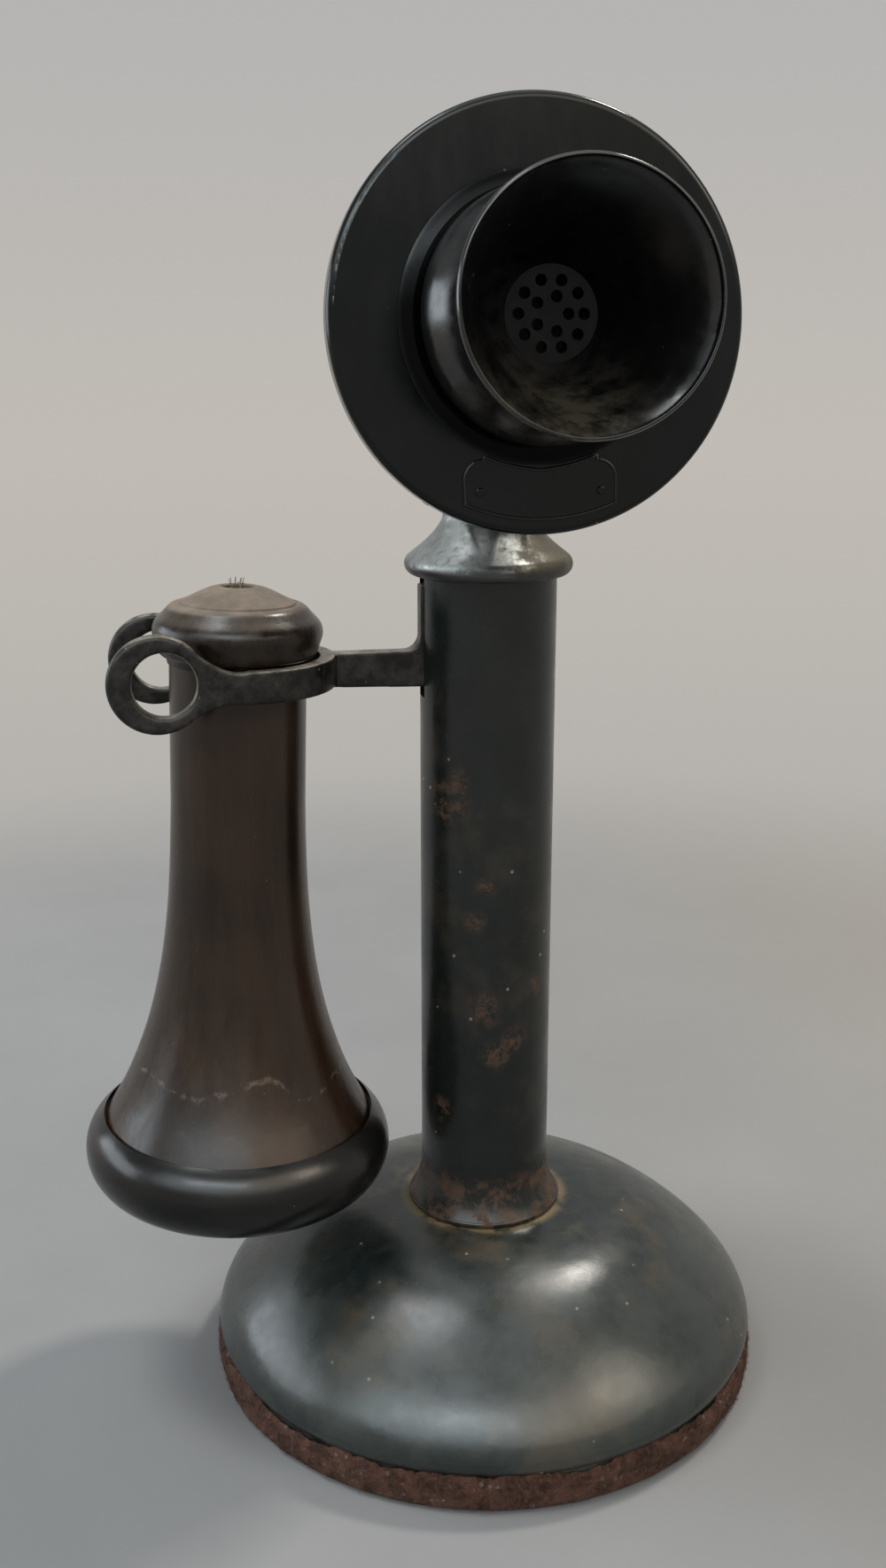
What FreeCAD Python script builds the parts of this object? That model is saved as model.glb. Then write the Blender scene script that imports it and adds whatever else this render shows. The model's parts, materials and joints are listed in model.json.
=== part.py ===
"""Candlestick desk telephone: every piece of the stand, switch, transmitter and receiver.

Millimetres. The origin is the centre of the felt sole, +Z is up, the front faces -Y and the
switch hook points to -X. One STEP file is written for each named piece.
"""
import FreeCAD
import Part
import math
import os
from FreeCAD import Vector

# Fits and clearances
running_clearance = 0.05
part_clearance = 0.3
thread_clearance = 0.2

# Base
base_radius = 68.9
base_foot_radius = 67.8
base_foot_height = 8.6
base_widest_height = 12.5
base_top_height = 41.7
base_wall = 2.6
base_seat_radius = 21.0
felt_thickness = 2.0
felt_band_thickness = 1.3
bottom_plate_thickness = 1.2
bottom_screw_circle_radius = 54.0
bottom_screw_count = 3
bottom_screw_radius = 1.5
bottom_screw_head_radius = 2.8
bottom_screw_length = 9.0
bottom_screw_head_height = 1.3
bottom_screw_start_deg = 30.0
bottom_boss_radius = 4.0
cord_hole_height = 16.0
cord_hole_radius = 5.2
cord_bore_radius = 3.4
bushing_flange_radius = 7.0
bushing_flange_thickness = 1.8
bushing_flange_round = 0.6
bushing_inner_reach = 2.0

# Stem
stem_radius = 16.0
stem_wall = 1.6
stem_top_height = 203.6
stem_flare_radius = 19.3
stem_flare_height = 10.5
stem_foot_radius = 11.0
stem_foot_length = 17.0
clamp_washer_radius = 17.0
clamp_washer_thickness = 1.6
clamp_nut_flat_radius = 15.0
clamp_nut_thickness = 6.0
slot_width = 5.8
slot_room_below_arm = 2.5

# Perch cap
bead_radius = 19.65
bead_section_radius = 2.45
bead_height = 204.5
brim_slope_radius = 16.4
brim_slope_rise = 3.95
cap_spigot_depth = 6.0
cap_hollow_radius = 7.0
groove_bottom_height = 213.6
pinch_radius = 7.0
pinch_foot_radius = 20.3
pinch_foot_height = 205.8
pinch_top_radius = 2.2
pinch_top_height = 217.4
cone_middle_radius = 13.0
cone_middle_height = 211.6
ear_radius = 10.6
ear_root_height = 214.9
ear_round_radius = 6.4
ear_seat_x = 10.05
ear_seat_radius = 6.2
tilt_height = 222.0
tongue_thickness = 5.0
tilt_bolt_radius = 2.5
tilt_head_radius = 4.2
tilt_head_length = 6.4
tilt_head_dome = 2.6
tilt_nut_radius = 4.8
tilt_nut_thickness = 3.6
perch_screw_radius = 1.4
perch_screw_head_radius = 2.2
perch_screw_head_height = 1.2
perch_screw_x = 2.0
cap_fit = 0.1
perch_screw_spacing = 19.6

# Switch hook
hook_thickness = 5.0
arm_top_height = 184.7
arm_bottom_height = 176.2
arm_root_x = -16.45
leg_width = 6.6
leg_top_height = 200.0
leg_fillet = 3.6
leg_straight_height = 188.4
leg_swing_room = 3.2
hook_pivot_x = -6.5
hook_pivot_height = 181.0
hook_boss_radius = 4.4
hook_pin_radius = 1.6
fork_inner_radius = 17.2
fork_wall = 3.6
fork_shift = 1.5
fork_bottom_height = 177.5
ring_x = -77.3
ring_height = 182.5
ring_radius = 11.0
ring_hole_radius = 7.0
ring_hole_shift = 1.5
rear_ring_drop = 1.4
ring_edge_round = 1.2
finger_height = 191.5
finger_radius = 1.8
finger_length = 8.1
finger_tail_radius = 1.1
finger_tail_length = 3.3

# Switch frame and contact springs
frame_cheek_thickness = 1.2
frame_cheek_gap = 11.6
frame_reach_below_pivot = 19.0
frame_back_x = 9.2
frame_back_thickness = 1.4
frame_front_x = -10.4
flange_thickness = 1.2
flange_half_width = 12.3
spring_thickness = 0.4
spring_width = 6.0
spring_pitch = 2.6
first_spring_x = 0.0
spring_top_height = 194.2
stack_height = 11.0
stack_screw_radius = 1.1
return_spring_thickness = 0.5
return_spring_width = 4.6

# Transmitter, along its own axis: 0 is the faceplate's front, plus is forward
plate_centre_y = -45.7
plate_centre_height = 258.5
transmitter_tilt_deg = 3.92
plate_radius = 42.2
plate_thickness = 2.4
plate_rim_depth = 5.0
plate_rim_wall = 1.7
plate_edge_round = 1.5
plate_boss_radius = 27.4
plate_boss_height = 1.1
cup_radius = 36.4
cup_depth = 33.0
cup_wall = 1.8
cup_flange_radius = 40.4
cup_flange_thickness = 2.0
cup_back_round = 9.0
plate_screw_circle_radius = 38.4
plate_screw_count = 4
plate_screw_radius = 1.2
plate_screw_head_radius = 1.95
plate_screw_bite = 1.4
plate_screw_head_height = 1.1
mouth_radius = 24.3
mouth_length = 38.5
mouth_lip_radius = 1.35
mouth_waist_radius = 20.6
mouth_waist_position = 21.0
mouth_shoulder_radius = 25.0
mouth_shoulder_position = 8.0
grille_position = 8.6
grille_radius = 9.2
grille_thickness = 2.0
grille_outer_circle = 6.5
grille_outer_count = 10
grille_inner_circle = 3.4
grille_inner_count = 5
grille_hole_radius = 1.15
neck_radius = 10.4
neck_length = 3.4
diaphragm_radius = 26.0
diaphragm_thickness = 0.5
diaphragm_position = -5.2
gasket_width = 3.0
gasket_thickness = 2.2
button_radius = 9.0
button_depth = 6.0
button_tail_radius = 2.4
button_nut_radius = 4.4
button_nut_thickness = 2.4
electrode_radius = 4.0
bridge_post_place = 30.8
bridge_post_radius = 2.5
bridge_width = 12.0
bridge_thickness = 2.4
bridge_screw_radius = 1.3
bridge_screw_head_radius = 2.3
transmitter_cord_hole_radius = 3.2
badge_width = 31.8
badge_outer_radius = 39.3
badge_inner_radius = 28.9
badge_lobe_radius = 4.0
badge_lobe_drop = 31.2
badge_rivet_place = 12.5
badge_rivet_drop = 33.5
badge_thickness = 0.35
badge_rivet_radius = 0.9
badge_rivet_shank_radius = 0.6

# Receiver, along its own axis, in the heights that it hangs at
receiver_x = -58.95
receiver_lean_deg = 1.8
receiver_lean_height = 174.0
neck_straight_height = 150.0
neck_outer_radius = 15.7
neck_bore_radius = 12.9
shell_top_height = 183.4
shell_seam_height = 70.8
shell_seam_radius = 32.4
ear_ring_radius = 26.5
ear_section_radius = 10.75
ear_section_height = 63.3
shell_spigot_radius = 29.4
shell_end_height = 63.7
shell_wall = 2.6
ear_hole_radius = 6.4
ear_dish_height = 58.6
ear_face_round_radius = 20.0
ear_face_round_height = 54.6
ear_face_dish_radius = 13.0
ear_face_dish_height = 57.4
ear_floor_thickness = 2.8
receiver_diaphragm_radius = 28.6
receiver_diaphragm_thickness = 0.4
receiver_cap_radius = 19.4
receiver_cap_widest_height = 190.6
receiver_cap_ledge_radius = 13.3
receiver_cap_ledge_height = 196.9
receiver_cap_top_height = 200.8
receiver_cord_hole_radius = 3.7
cap_spigot_length = 5.0
cap_room_radius = 10.1
cap_room_height = 12.0
receiver_cap_seat_rise = 0.6
cord_stub_radius = 2.0
cord_stub_height = 201.6
pole_gap = 1.0
pole_spacing = 13.0
pole_width = 8.0
pole_thickness = 2.6
coil_length = 11.0
coil_wall = 2.6
magnet_width = 9.0
magnet_thickness = 4.2
magnet_spacing = 9.6
magnet_room_above = 15.4
block_height = 9.0
magnet_screw_radius = 1.5
magnet_screw_head_radius = 2.8
pole_foot_thickness = 3.0
pole_foot_inner = 2.2
pole_plate_radius = 25.4

X = Vector(1, 0, 0)
Y = Vector(0, 1, 0)
Z = Vector(0, 0, 1)
ORIGIN = Vector(0, 0, 0)
far = 200.0

frame_bottom_height = hook_pivot_height - frame_reach_below_pivot
magnet_top_height = shell_top_height - magnet_room_above


def cylinder(radius, height, base, axis=Z):
    """A round bar from its base point along an axis."""
    return Part.makeCylinder(radius, height, base, axis)


def box(x_low, x_high, y_low, y_high, z_low, z_high):
    """A block between two corners."""
    return Part.makeBox(x_high - x_low, y_high - y_low, z_high - z_low, Vector(x_low, y_low, z_low))


def ring(outer, inner, z_low, z_high):
    """A flat-ended ring about the Z axis."""
    height = z_high - z_low
    base = Vector(0, 0, z_low)
    return cylinder(outer, height, base).cut(cylinder(inner, height, base))


def line(a, b):
    """A straight edge in the half plane of a turned profile, from (radius, height) pairs."""
    return Part.LineSegment(Vector(a[0], 0, a[1]), Vector(b[0], 0, b[1])).toShape()


def arc(a, middle, b):
    """An arc through three (radius, height) pairs."""
    points = [Vector(p[0], 0, p[1]) for p in (a, middle, b)]
    return Part.Arc(*points).toShape()


def curve(points):
    """One smooth curve through (radius, height) pairs."""
    spline = Part.BSplineCurve()
    spline.interpolate([Vector(p[0], 0, p[1]) for p in points])
    return spline.toShape()


def turned(edges):
    """The solid that a closed profile sweeps about the Z axis."""
    face = Part.Face(Part.Wire(edges))
    return face.revolve(ORIGIN, Z, 360)


def plate_xz(edges, y_low, thickness):
    """A plate with an outline in the XZ plane, thickened towards +Y."""
    face = Part.Face(Part.Wire(edges))
    solid = face.extrude(Vector(0, thickness, 0))
    solid.translate(Vector(0, y_low, 0))
    return solid


def around(solid, count, start_deg=0.0):
    """Equal copies of a solid about the Z axis."""
    copies = []
    for index in range(count):
        copy = solid.copy()
        copy.rotate(ORIGIN, Z, start_deg + 360.0 * index / count)
        copies.append(copy)
    return copies


def joined(solids):
    """One solid from several that touch or overlap."""
    first = solids[0].copy()
    return first.fuse([s.copy() for s in solids[1:]]).removeSplitter()


def grouped(solids):
    """Separate solids kept in one piece list."""
    return Part.makeCompound(solids)


def hexagon(flat_radius, thickness, base, axis=Z):
    """A hexagonal prism whose flats are flat_radius from its axis."""
    corner_radius = flat_radius / math.cos(math.pi / 6)
    corners = []
    for index in range(7):
        angle = math.radians(60 * index)
        corners.append(Vector(corner_radius * math.cos(angle), corner_radius * math.sin(angle), 0))
    prism = Part.Face(Part.makePolygon(corners)).extrude(Vector(0, 0, thickness))
    prism.Placement = FreeCAD.Placement(base, FreeCAD.Rotation(Z, axis))
    return prism


def inward(points, distance):
    """Profile points moved square to the curve, towards its axis and downwards."""
    moved = []
    for index, point in enumerate(points):
        before = points[max(index - 1, 0)]
        after = points[min(index + 1, len(points) - 1)]
        dr = after[0] - before[0]
        dz = after[1] - before[1]
        length = math.hypot(dr, dz)
        moved.append((point[0] + dz / length * distance, point[1] - dr / length * distance))
    return moved


def screw_up(x, y, head_bottom, head_radius, head_height, shank_radius, length):
    """A round-headed screw that points up from its head."""
    head = cylinder(head_radius, head_height, Vector(x, y, head_bottom))
    shank = cylinder(shank_radius, head_height + length, Vector(x, y, head_bottom))
    return joined([head, shank])


# Base

plate_bottom = felt_thickness
plate_top = plate_bottom + bottom_plate_thickness
plate_room_radius = base_foot_radius - 1.2


def dome_points():
    """The outer curve of the dome, from the stem's seat to its widest place."""
    fall = base_top_height - base_widest_height
    spread = base_radius - base_seat_radius
    shape = [(0.0, 0.0), (0.16, 0.02), (0.33, 0.075), (0.5, 0.19), (0.66, 0.36), (0.79, 0.53),
             (0.9, 0.71), (0.97, 0.87), (1.0, 1.0)]
    return [(base_seat_radius + u * spread, base_top_height - v * fall) for u, v in shape]


def base_shell():
    """The hollow dome with its stem hole, screw bosses and rear cord hole."""
    outer = dome_points()
    widest = outer[-1]
    foot_top = (base_foot_radius, base_foot_height)
    foot = (base_foot_radius, felt_thickness)
    body = turned([
        curve(outer),
        curve([widest, (base_radius - 0.15, base_foot_height + 1.6), foot_top]),
        line(foot_top, foot),
        line(foot, (0, felt_thickness)),
        line((0, felt_thickness), (0, base_top_height)),
        line((0, base_top_height), outer[0]),
    ])
    inner = inward(outer, base_wall)
    inner_foot_radius = base_foot_radius - base_wall
    ceiling = inner[0][1]
    mouth = felt_thickness - 1
    hollow = turned([
        curve(inner),
        line(inner[-1], (inner_foot_radius, base_foot_height)),
        line((inner_foot_radius, base_foot_height), (inner_foot_radius, mouth)),
        line((inner_foot_radius, mouth), (0, mouth)),
        line((0, mouth), (0, ceiling)),
        line((0, ceiling), inner[0]),
    ])
    shell = body.cut(hollow)
    boss = cylinder(bottom_boss_radius, base_top_height, Vector(bottom_screw_circle_radius, 0, plate_top))
    bosses = [b.common(body) for b in around(boss, bottom_screw_count, bottom_screw_start_deg)]
    shell = joined([shell] + bosses)
    plate_room = cylinder(plate_room_radius, bottom_plate_thickness, Vector(0, 0, felt_thickness))
    screw_hole = cylinder(bottom_screw_radius + running_clearance, bottom_screw_length,
                          Vector(bottom_screw_circle_radius, 0, plate_top))
    stem_hole = cylinder(stem_foot_radius + part_clearance, far, ORIGIN)
    cord_hole = cylinder(cord_hole_radius, far, Vector(0, base_radius - 3 * base_wall, cord_hole_height), Y)
    screw_holes = around(screw_hole, bottom_screw_count, bottom_screw_start_deg)
    return shell.cut([plate_room, stem_hole, cord_hole] + screw_holes)


def bottom_plate():
    """The steel disc that closes the base, with its screw holes."""
    disc = cylinder(plate_room_radius - part_clearance, bottom_plate_thickness, Vector(0, 0, plate_bottom))
    hole = cylinder(bottom_screw_radius + thread_clearance, far, Vector(bottom_screw_circle_radius, 0, 0))
    return disc.cut(around(hole, bottom_screw_count, bottom_screw_start_deg))


def bottom_plate_screws():
    """Three screws whose heads lie in pockets of the felt."""
    screw = screw_up(bottom_screw_circle_radius, 0, plate_bottom - bottom_screw_head_height,
                     bottom_screw_head_radius, bottom_screw_head_height, bottom_screw_radius,
                     bottom_screw_length - part_clearance)
    return grouped(around(screw, bottom_screw_count, bottom_screw_start_deg))


def base_felt():
    """The felt sole, turned up round the foot of the base."""
    outer = base_foot_radius + felt_band_thickness
    sole = cylinder(outer, base_foot_height, ORIGIN)
    room = cylinder(base_foot_radius, base_foot_height, Vector(0, 0, felt_thickness))
    pocket_depth = bottom_screw_head_height + part_clearance
    pocket = cylinder(bottom_screw_head_radius + part_clearance, pocket_depth + 1,
                      Vector(bottom_screw_circle_radius, 0, felt_thickness - pocket_depth))
    return sole.cut([room] + around(pocket, bottom_screw_count, bottom_screw_start_deg))


def cord_bushing():
    """A flanged bushing that lines the rear cord hole."""
    wall_inside = base_radius - base_wall
    flange_start = base_radius + part_clearance
    sleeve = cylinder(cord_hole_radius - running_clearance, flange_start - wall_inside + bushing_inner_reach,
                      Vector(0, wall_inside - bushing_inner_reach, cord_hole_height), Y)
    flange = cylinder(bushing_flange_radius, bushing_flange_thickness,
                      Vector(0, flange_start, cord_hole_height), Y)
    outer_edges = [e for e in flange.Edges if e.CenterOfMass.y > flange_start + bushing_flange_thickness / 2]
    flange = flange.makeFillet(bushing_flange_round, [e for e in outer_edges if e.Closed])
    bore = cylinder(cord_bore_radius, far, Vector(0, 0, cord_hole_height), Y)
    return joined([sleeve, flange]).cut(bore)


# Stem

def stem_tube():
    """The tube with its flared foot, the threaded end below it and the hook's slot."""
    z = base_top_height
    flare = z + stem_flare_height
    bottom = z - stem_foot_length
    lip = 1.6
    bore = stem_radius - stem_wall
    foot_bore = stem_foot_radius - 2.0
    body = turned([
        line((foot_bore, bottom), (stem_foot_radius, bottom)),
        line((stem_foot_radius, bottom), (stem_foot_radius, z)),
        line((stem_foot_radius, z), (stem_flare_radius - 0.5, z)),
        arc((stem_flare_radius - 0.5, z), (stem_flare_radius, z + lip / 2), (stem_flare_radius - 0.4, z + lip)),
        curve([(stem_flare_radius - 0.4, z + lip), (stem_radius + 1.35, z + 0.42 * stem_flare_height),
               (stem_radius + 0.35, z + 0.72 * stem_flare_height), (stem_radius, flare)]),
        line((stem_radius, flare), (stem_radius, stem_top_height)),
        line((stem_radius, stem_top_height), (bore, stem_top_height)),
        line((bore, stem_top_height), (bore, z + 4)),
        line((bore, z + 4), (foot_bore, z)),
        line((foot_bore, z), (foot_bore, bottom)),
    ])
    slot_bottom = arm_bottom_height - slot_room_below_arm
    slot = box(-stem_radius - 5, 0, -slot_width / 2, slot_width / 2, slot_bottom, stem_top_height + 1)
    return body.cut(slot)


def clamp_under():
    """Height of the dome's ceiling, where the washer bears."""
    return base_top_height - base_wall


def stem_clamp_washer():
    """The washer between the dome's ceiling and the nut."""
    top = clamp_under()
    return ring(clamp_washer_radius, stem_foot_radius + part_clearance, top - clamp_washer_thickness, top)


def stem_clamp_nut():
    """The nut that draws the stem's flare onto the dome."""
    top = clamp_under() - clamp_washer_thickness
    nut = hexagon(clamp_nut_flat_radius, clamp_nut_thickness, Vector(0, 0, top - clamp_nut_thickness))
    return nut.cut(cylinder(stem_foot_radius + running_clearance, far, ORIGIN))


# Perch cap and tilt joint

cap_underside = bead_height - bead_section_radius
frame_top = cap_underside - cap_spigot_depth
tongue_half = tongue_thickness / 2
fork_half = tongue_half + part_clearance


def perch_outline():
    """The cap seen from the side: wide at the brim, narrowing to the round of its ears."""
    low = cap_underside - cap_spigot_depth - 1
    wide = bead_radius + 1
    shoulder = cone_middle_height - 1.0
    reach = cone_middle_radius + 1.2
    y = ear_round_radius
    points = [Vector(0, -wide, low), Vector(0, -wide, shoulder), Vector(0, -reach, shoulder),
              Vector(0, -y, tilt_height - 2)]
    edges = [Part.LineSegment(a, b).toShape() for a, b in zip(points, points[1:])]
    edges.append(Part.Arc(points[-1], Vector(0, 0, tilt_height + y), Vector(0, y, tilt_height - 2)).toShape())
    mirrored = [Vector(0, -p.y, p.z) for p in reversed(points)]
    edges += [Part.LineSegment(a, b).toShape() for a, b in zip(mirrored, mirrored[1:])]
    edges.append(Part.LineSegment(mirrored[-1], points[0]).toShape())
    face = Part.Face(Part.Wire(edges))
    solid = face.extrude(Vector(4 * bead_radius, 0, 0))
    solid.translate(Vector(-2 * bead_radius, 0, 0))
    return solid


def pinch(side):
    """The round valley pressed into the front (-1) or back (+1) of the cone."""
    low = Vector(0, side * (pinch_foot_radius + pinch_radius), pinch_foot_height)
    high = Vector(0, side * (pinch_top_radius + pinch_radius), pinch_top_height)
    along = high.sub(low)
    return Part.makeCylinder(pinch_radius, along.Length, low, along)


def perch_cap():
    """The worn cap: beaded brim, pinched cone, two ears and the spigot inside the stem."""
    r = bead_radius
    s = bead_section_radius
    recess_radius = stem_radius + cap_fit
    recess_top = stem_top_height
    spigot_radius = stem_radius - stem_wall - cap_fit
    spigot_bottom = frame_top
    ear_top = tilt_height + ear_round_radius + 1
    bead_shoulder = (r - 0.42 * s, bead_height + 0.91 * s)
    body = turned([
        line((0, spigot_bottom), (spigot_radius, spigot_bottom)),
        line((spigot_radius, spigot_bottom), (spigot_radius, recess_top)),
        line((spigot_radius, recess_top), (recess_radius, recess_top)),
        line((recess_radius, recess_top), (recess_radius, cap_underside)),
        line((recess_radius, cap_underside), (r - s, cap_underside)),
        arc((r - s, cap_underside), (r, bead_height), bead_shoulder),
        curve([bead_shoulder, (brim_slope_radius, bead_height + brim_slope_rise),
               (cone_middle_radius, cone_middle_height), (ear_radius + 0.2, ear_root_height)]),
        curve([(ear_radius + 0.2, ear_root_height), (ear_radius - 0.25, tilt_height - 3.5),
               (ear_radius - 0.6, ear_top)]),
        line((ear_radius - 0.6, ear_top), (0, ear_top)),
        line((0, ear_top), (0, spigot_bottom)),
    ])
    body = body.common(perch_outline())
    hollow = cylinder(cap_hollow_radius, cap_spigot_depth - 1.5, Vector(0, 0, spigot_bottom))
    leg_room = box(-far, leg_inner_x() + leg_swing_room, -slot_width / 2, slot_width / 2,
                   spigot_bottom - 1, cap_underside)
    groove = box(-fork_half, fork_half, -far, far, groove_bottom_height, far * 2)
    bolt_hole = cylinder(tilt_bolt_radius + running_clearance, far, Vector(-far / 2, 0, tilt_height), X)
    cuts = [hollow, leg_room, groove, bolt_hole]
    for side in (-1, 1):
        start = side * ear_seat_x if side > 0 else -ear_seat_x - far
        cuts.append(cylinder(ear_seat_radius, far, Vector(start, 0, tilt_height), X))
        cuts.append(pinch(side))
        cuts.append(cylinder(perch_screw_radius + running_clearance, cap_spigot_depth,
                             Vector(perch_screw_x, side * perch_screw_spacing / 2, spigot_bottom - 0.1)))
    return body.cut(cuts)


def leg_inner_x():
    """Inner face of the hook's upright leg."""
    return arm_root_x + leg_width


def tilt_bolt():
    """The bolt through both ears and the transmitter's tongue, with its domed head at the left."""
    seat = ear_seat_x
    head_end = seat + tilt_head_length
    shank_end = seat + tilt_nut_thickness + 1.0
    profile = turned([
        line((0, -shank_end), (tilt_bolt_radius, -shank_end)),
        line((tilt_bolt_radius, -shank_end), (tilt_bolt_radius, seat)),
        line((tilt_bolt_radius, seat), (tilt_head_radius, seat)),
        line((tilt_head_radius, seat), (tilt_head_radius, head_end - tilt_head_dome)),
        arc((tilt_head_radius, head_end - tilt_head_dome),
            (tilt_head_radius * 0.72, head_end - tilt_head_dome * 0.3), (0, head_end)),
        line((0, head_end), (0, -shank_end)),
    ])
    profile.Placement = FreeCAD.Placement(Vector(0, 0, tilt_height), FreeCAD.Rotation(Z, Vector(-1, 0, 0)))
    slot = box(-head_end - 1, -head_end + 1.3, -0.55, 0.55, 0, far * 2)
    return profile.cut(slot)


def tilt_nut():
    """The nut on the bolt's right end."""
    nut = hexagon(tilt_nut_radius, tilt_nut_thickness, Vector(ear_seat_x, 0, tilt_height), X)
    bore = cylinder(tilt_bolt_radius + running_clearance, far, Vector(0, 0, tilt_height), X)
    return nut.cut(bore)


# Switch hook

def hook_receiver_axis_x(height):
    """Where the leaning receiver's axis passes at a height."""
    return receiver_x + (height - receiver_lean_height) * math.tan(math.radians(receiver_lean_deg))


fork_centre_x = hook_receiver_axis_x(arm_top_height) + fork_shift


def prong(side, drop):
    """One straight prong with its ring, on the near (-1) or far (+1) side."""
    y_low = fork_inner_radius if side > 0 else -fork_inner_radius - fork_wall
    top = arm_top_height
    bottom = fork_bottom_height
    centre = ring_height - drop
    start_x = fork_centre_x
    r = ring_radius
    hole_x = ring_x + ring_hole_shift
    meet_top = (ring_x + r * math.sin(math.radians(28)), centre + r * math.cos(math.radians(28)))
    meet_low = (ring_x + r * math.sin(math.radians(32)), centre - r * math.cos(math.radians(32)))
    upper = [(start_x, top), (start_x - 5.5, top + 0.35), (start_x - 9.1, top + 2.3 - drop * 0.4), meet_top]
    lower = [meet_low, (ring_x + 9.3, bottom - 1.7 - drop * 0.5), (start_x - 6.7, bottom - 0.1),
             (start_x, bottom)]
    edges = [curve(upper), line(meet_top, meet_low), curve(lower), line((start_x, bottom), (start_x, top))]
    web = plate_xz(edges, y_low, fork_wall)
    web = web.cut(cylinder(ring_hole_radius + ring_edge_round, far, Vector(hole_x, -far / 2, centre), Y))
    disc = cylinder(r, fork_wall, Vector(ring_x, y_low, centre), Y)
    disc = disc.cut(cylinder(ring_hole_radius, far, Vector(hole_x, -far / 2, centre), Y))
    rims = [e for e in disc.Edges if e.Closed and e.BoundBox.YLength < 0.01]
    return joined([web, disc.makeFillet(ring_edge_round, rims)])


def switch_hook():
    """Arm, upright leg, pivot boss and the fork with its two rings, as one casting."""
    outer = fork_inner_radius + fork_wall
    right_half = box(fork_centre_x, far, -far, far, 0, far * 2)
    fork_height = arm_top_height - fork_bottom_height
    bend = cylinder(outer, fork_height, Vector(fork_centre_x, 0, fork_bottom_height))
    bend = bend.cut(cylinder(fork_inner_radius, far, Vector(fork_centre_x, 0, fork_bottom_height - 1)))
    bend = bend.common(right_half)
    half = hook_thickness / 2
    arm_start = fork_centre_x + fork_inner_radius + fork_wall / 2
    arm_start_bottom = arm_bottom_height + 0.7
    leg_x = arm_root_x
    leg_in = leg_inner_x()
    z_top = arm_top_height
    r = leg_fillet
    corner = r * (1 - math.sqrt(0.5))
    boss_top = (hook_pivot_x, hook_pivot_height + hook_boss_radius)
    boss_bottom = (hook_pivot_x, hook_pivot_height - hook_boss_radius)
    edges = [
        line((arm_start, arm_start_bottom), (arm_start, z_top)),
        line((arm_start, z_top), (leg_x - r, z_top)),
        arc((leg_x - r, z_top), (leg_x - corner, z_top + corner), (leg_x, z_top + r)),
        line((leg_x, z_top + r), (leg_x, leg_top_height)),
        line((leg_x, leg_top_height), (leg_in, leg_top_height)),
        line((leg_in, leg_top_height), (leg_in, leg_straight_height)),
        line((leg_in, leg_straight_height), boss_top),
        line(boss_top, boss_bottom),
        line(boss_bottom, (leg_x + 1.0, arm_bottom_height)),
        line((leg_x + 1.0, arm_bottom_height), (arm_start, arm_start_bottom)),
    ]
    lever = plate_xz(edges, -half, hook_thickness)
    boss = cylinder(hook_boss_radius, hook_thickness, Vector(hook_pivot_x, -half, hook_pivot_height), Y)
    pin_hole = cylinder(hook_pin_radius + running_clearance, far,
                        Vector(hook_pivot_x, -far / 2, hook_pivot_height), Y)
    hook = joined([lever, boss, bend, prong(-1, 0.0), prong(1, rear_ring_drop)])
    finger_hole = cylinder(finger_tail_radius + running_clearance, finger_tail_length + 1,
                           Vector(leg_in - finger_tail_length, 0, finger_height), X)
    return hook.cut([pin_hole, finger_hole])


def hook_finger():
    """The insulating stud on the leg that presses the contact springs."""
    start = leg_inner_x()
    stud = cylinder(finger_radius, finger_length, Vector(start, 0, finger_height), X)
    tail = cylinder(finger_tail_radius, finger_tail_length,
                    Vector(start - finger_tail_length + running_clearance, 0, finger_height), X)
    return joined([stud, tail])


def hook_pivot_pin():
    """The pin through both cheeks of the frame, with a head at the front."""
    half = frame_cheek_gap / 2 + frame_cheek_thickness
    shank = cylinder(hook_pin_radius, 2 * half + 0.8, Vector(hook_pivot_x, -half - 0.1, hook_pivot_height), Y)
    head = cylinder(hook_pin_radius + 0.9, 0.8, Vector(hook_pivot_x, -half - 0.8, hook_pivot_height), Y)
    return joined([shank, head])


# Switch frame and contacts

def switch_frame():
    """The folded steel frame: two cheeks, a back and a top flange under the cap."""
    inside = frame_cheek_gap / 2
    outside = inside + frame_cheek_thickness
    stem_bore = stem_radius - stem_wall - part_clearance
    flange_bottom = frame_top - flange_thickness
    cheeks = [box(frame_front_x, frame_back_x, inside, outside, frame_bottom_height, frame_top),
              box(frame_front_x, frame_back_x, -outside, -inside, frame_bottom_height, frame_top)]
    back = box(frame_back_x - frame_back_thickness, frame_back_x, -outside, outside,
               frame_bottom_height, frame_top)
    flange = box(-3.0, frame_back_x, -flange_half_width, flange_half_width, flange_bottom, frame_top)
    body = joined(cheeks + [back, flange]).common(cylinder(stem_bore, far * 2, ORIGIN))
    cuts = [cylinder(hook_pin_radius + running_clearance, far,
                     Vector(hook_pivot_x, -far / 2, hook_pivot_height), Y)]
    for side in (-1, 1):
        cuts.append(cylinder(perch_screw_radius + thread_clearance, 10,
                             Vector(perch_screw_x, side * perch_screw_spacing / 2, frame_top - 5)))
    for height in stack_screw_heights():
        cuts.append(cylinder(stack_screw_radius + running_clearance, far, Vector(0, 0, height), X))
    return body.cut(cuts)


def perch_screws():
    """Two screws up through the frame's flange into the cap."""
    solids = []
    for side in (-1, 1):
        solids.append(screw_up(perch_screw_x, side * perch_screw_spacing / 2,
                               frame_top - flange_thickness - perch_screw_head_height,
                               perch_screw_head_radius, perch_screw_head_height, perch_screw_radius,
                               flange_thickness + cap_spigot_depth - 1.0))
    return grouped(solids)


stack_low = frame_bottom_height + 1.0
stack_high = stack_low + stack_height


def stack_screw_heights():
    """Heights of the two screws through the spring stack."""
    return (stack_low + 2.6, stack_high - 2.6)


def stack_holes():
    """Holes through the stack for both screws."""
    return [cylinder(stack_screw_radius + running_clearance, far, Vector(-far / 2, 0, h), X)
            for h in stack_screw_heights()]


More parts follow.
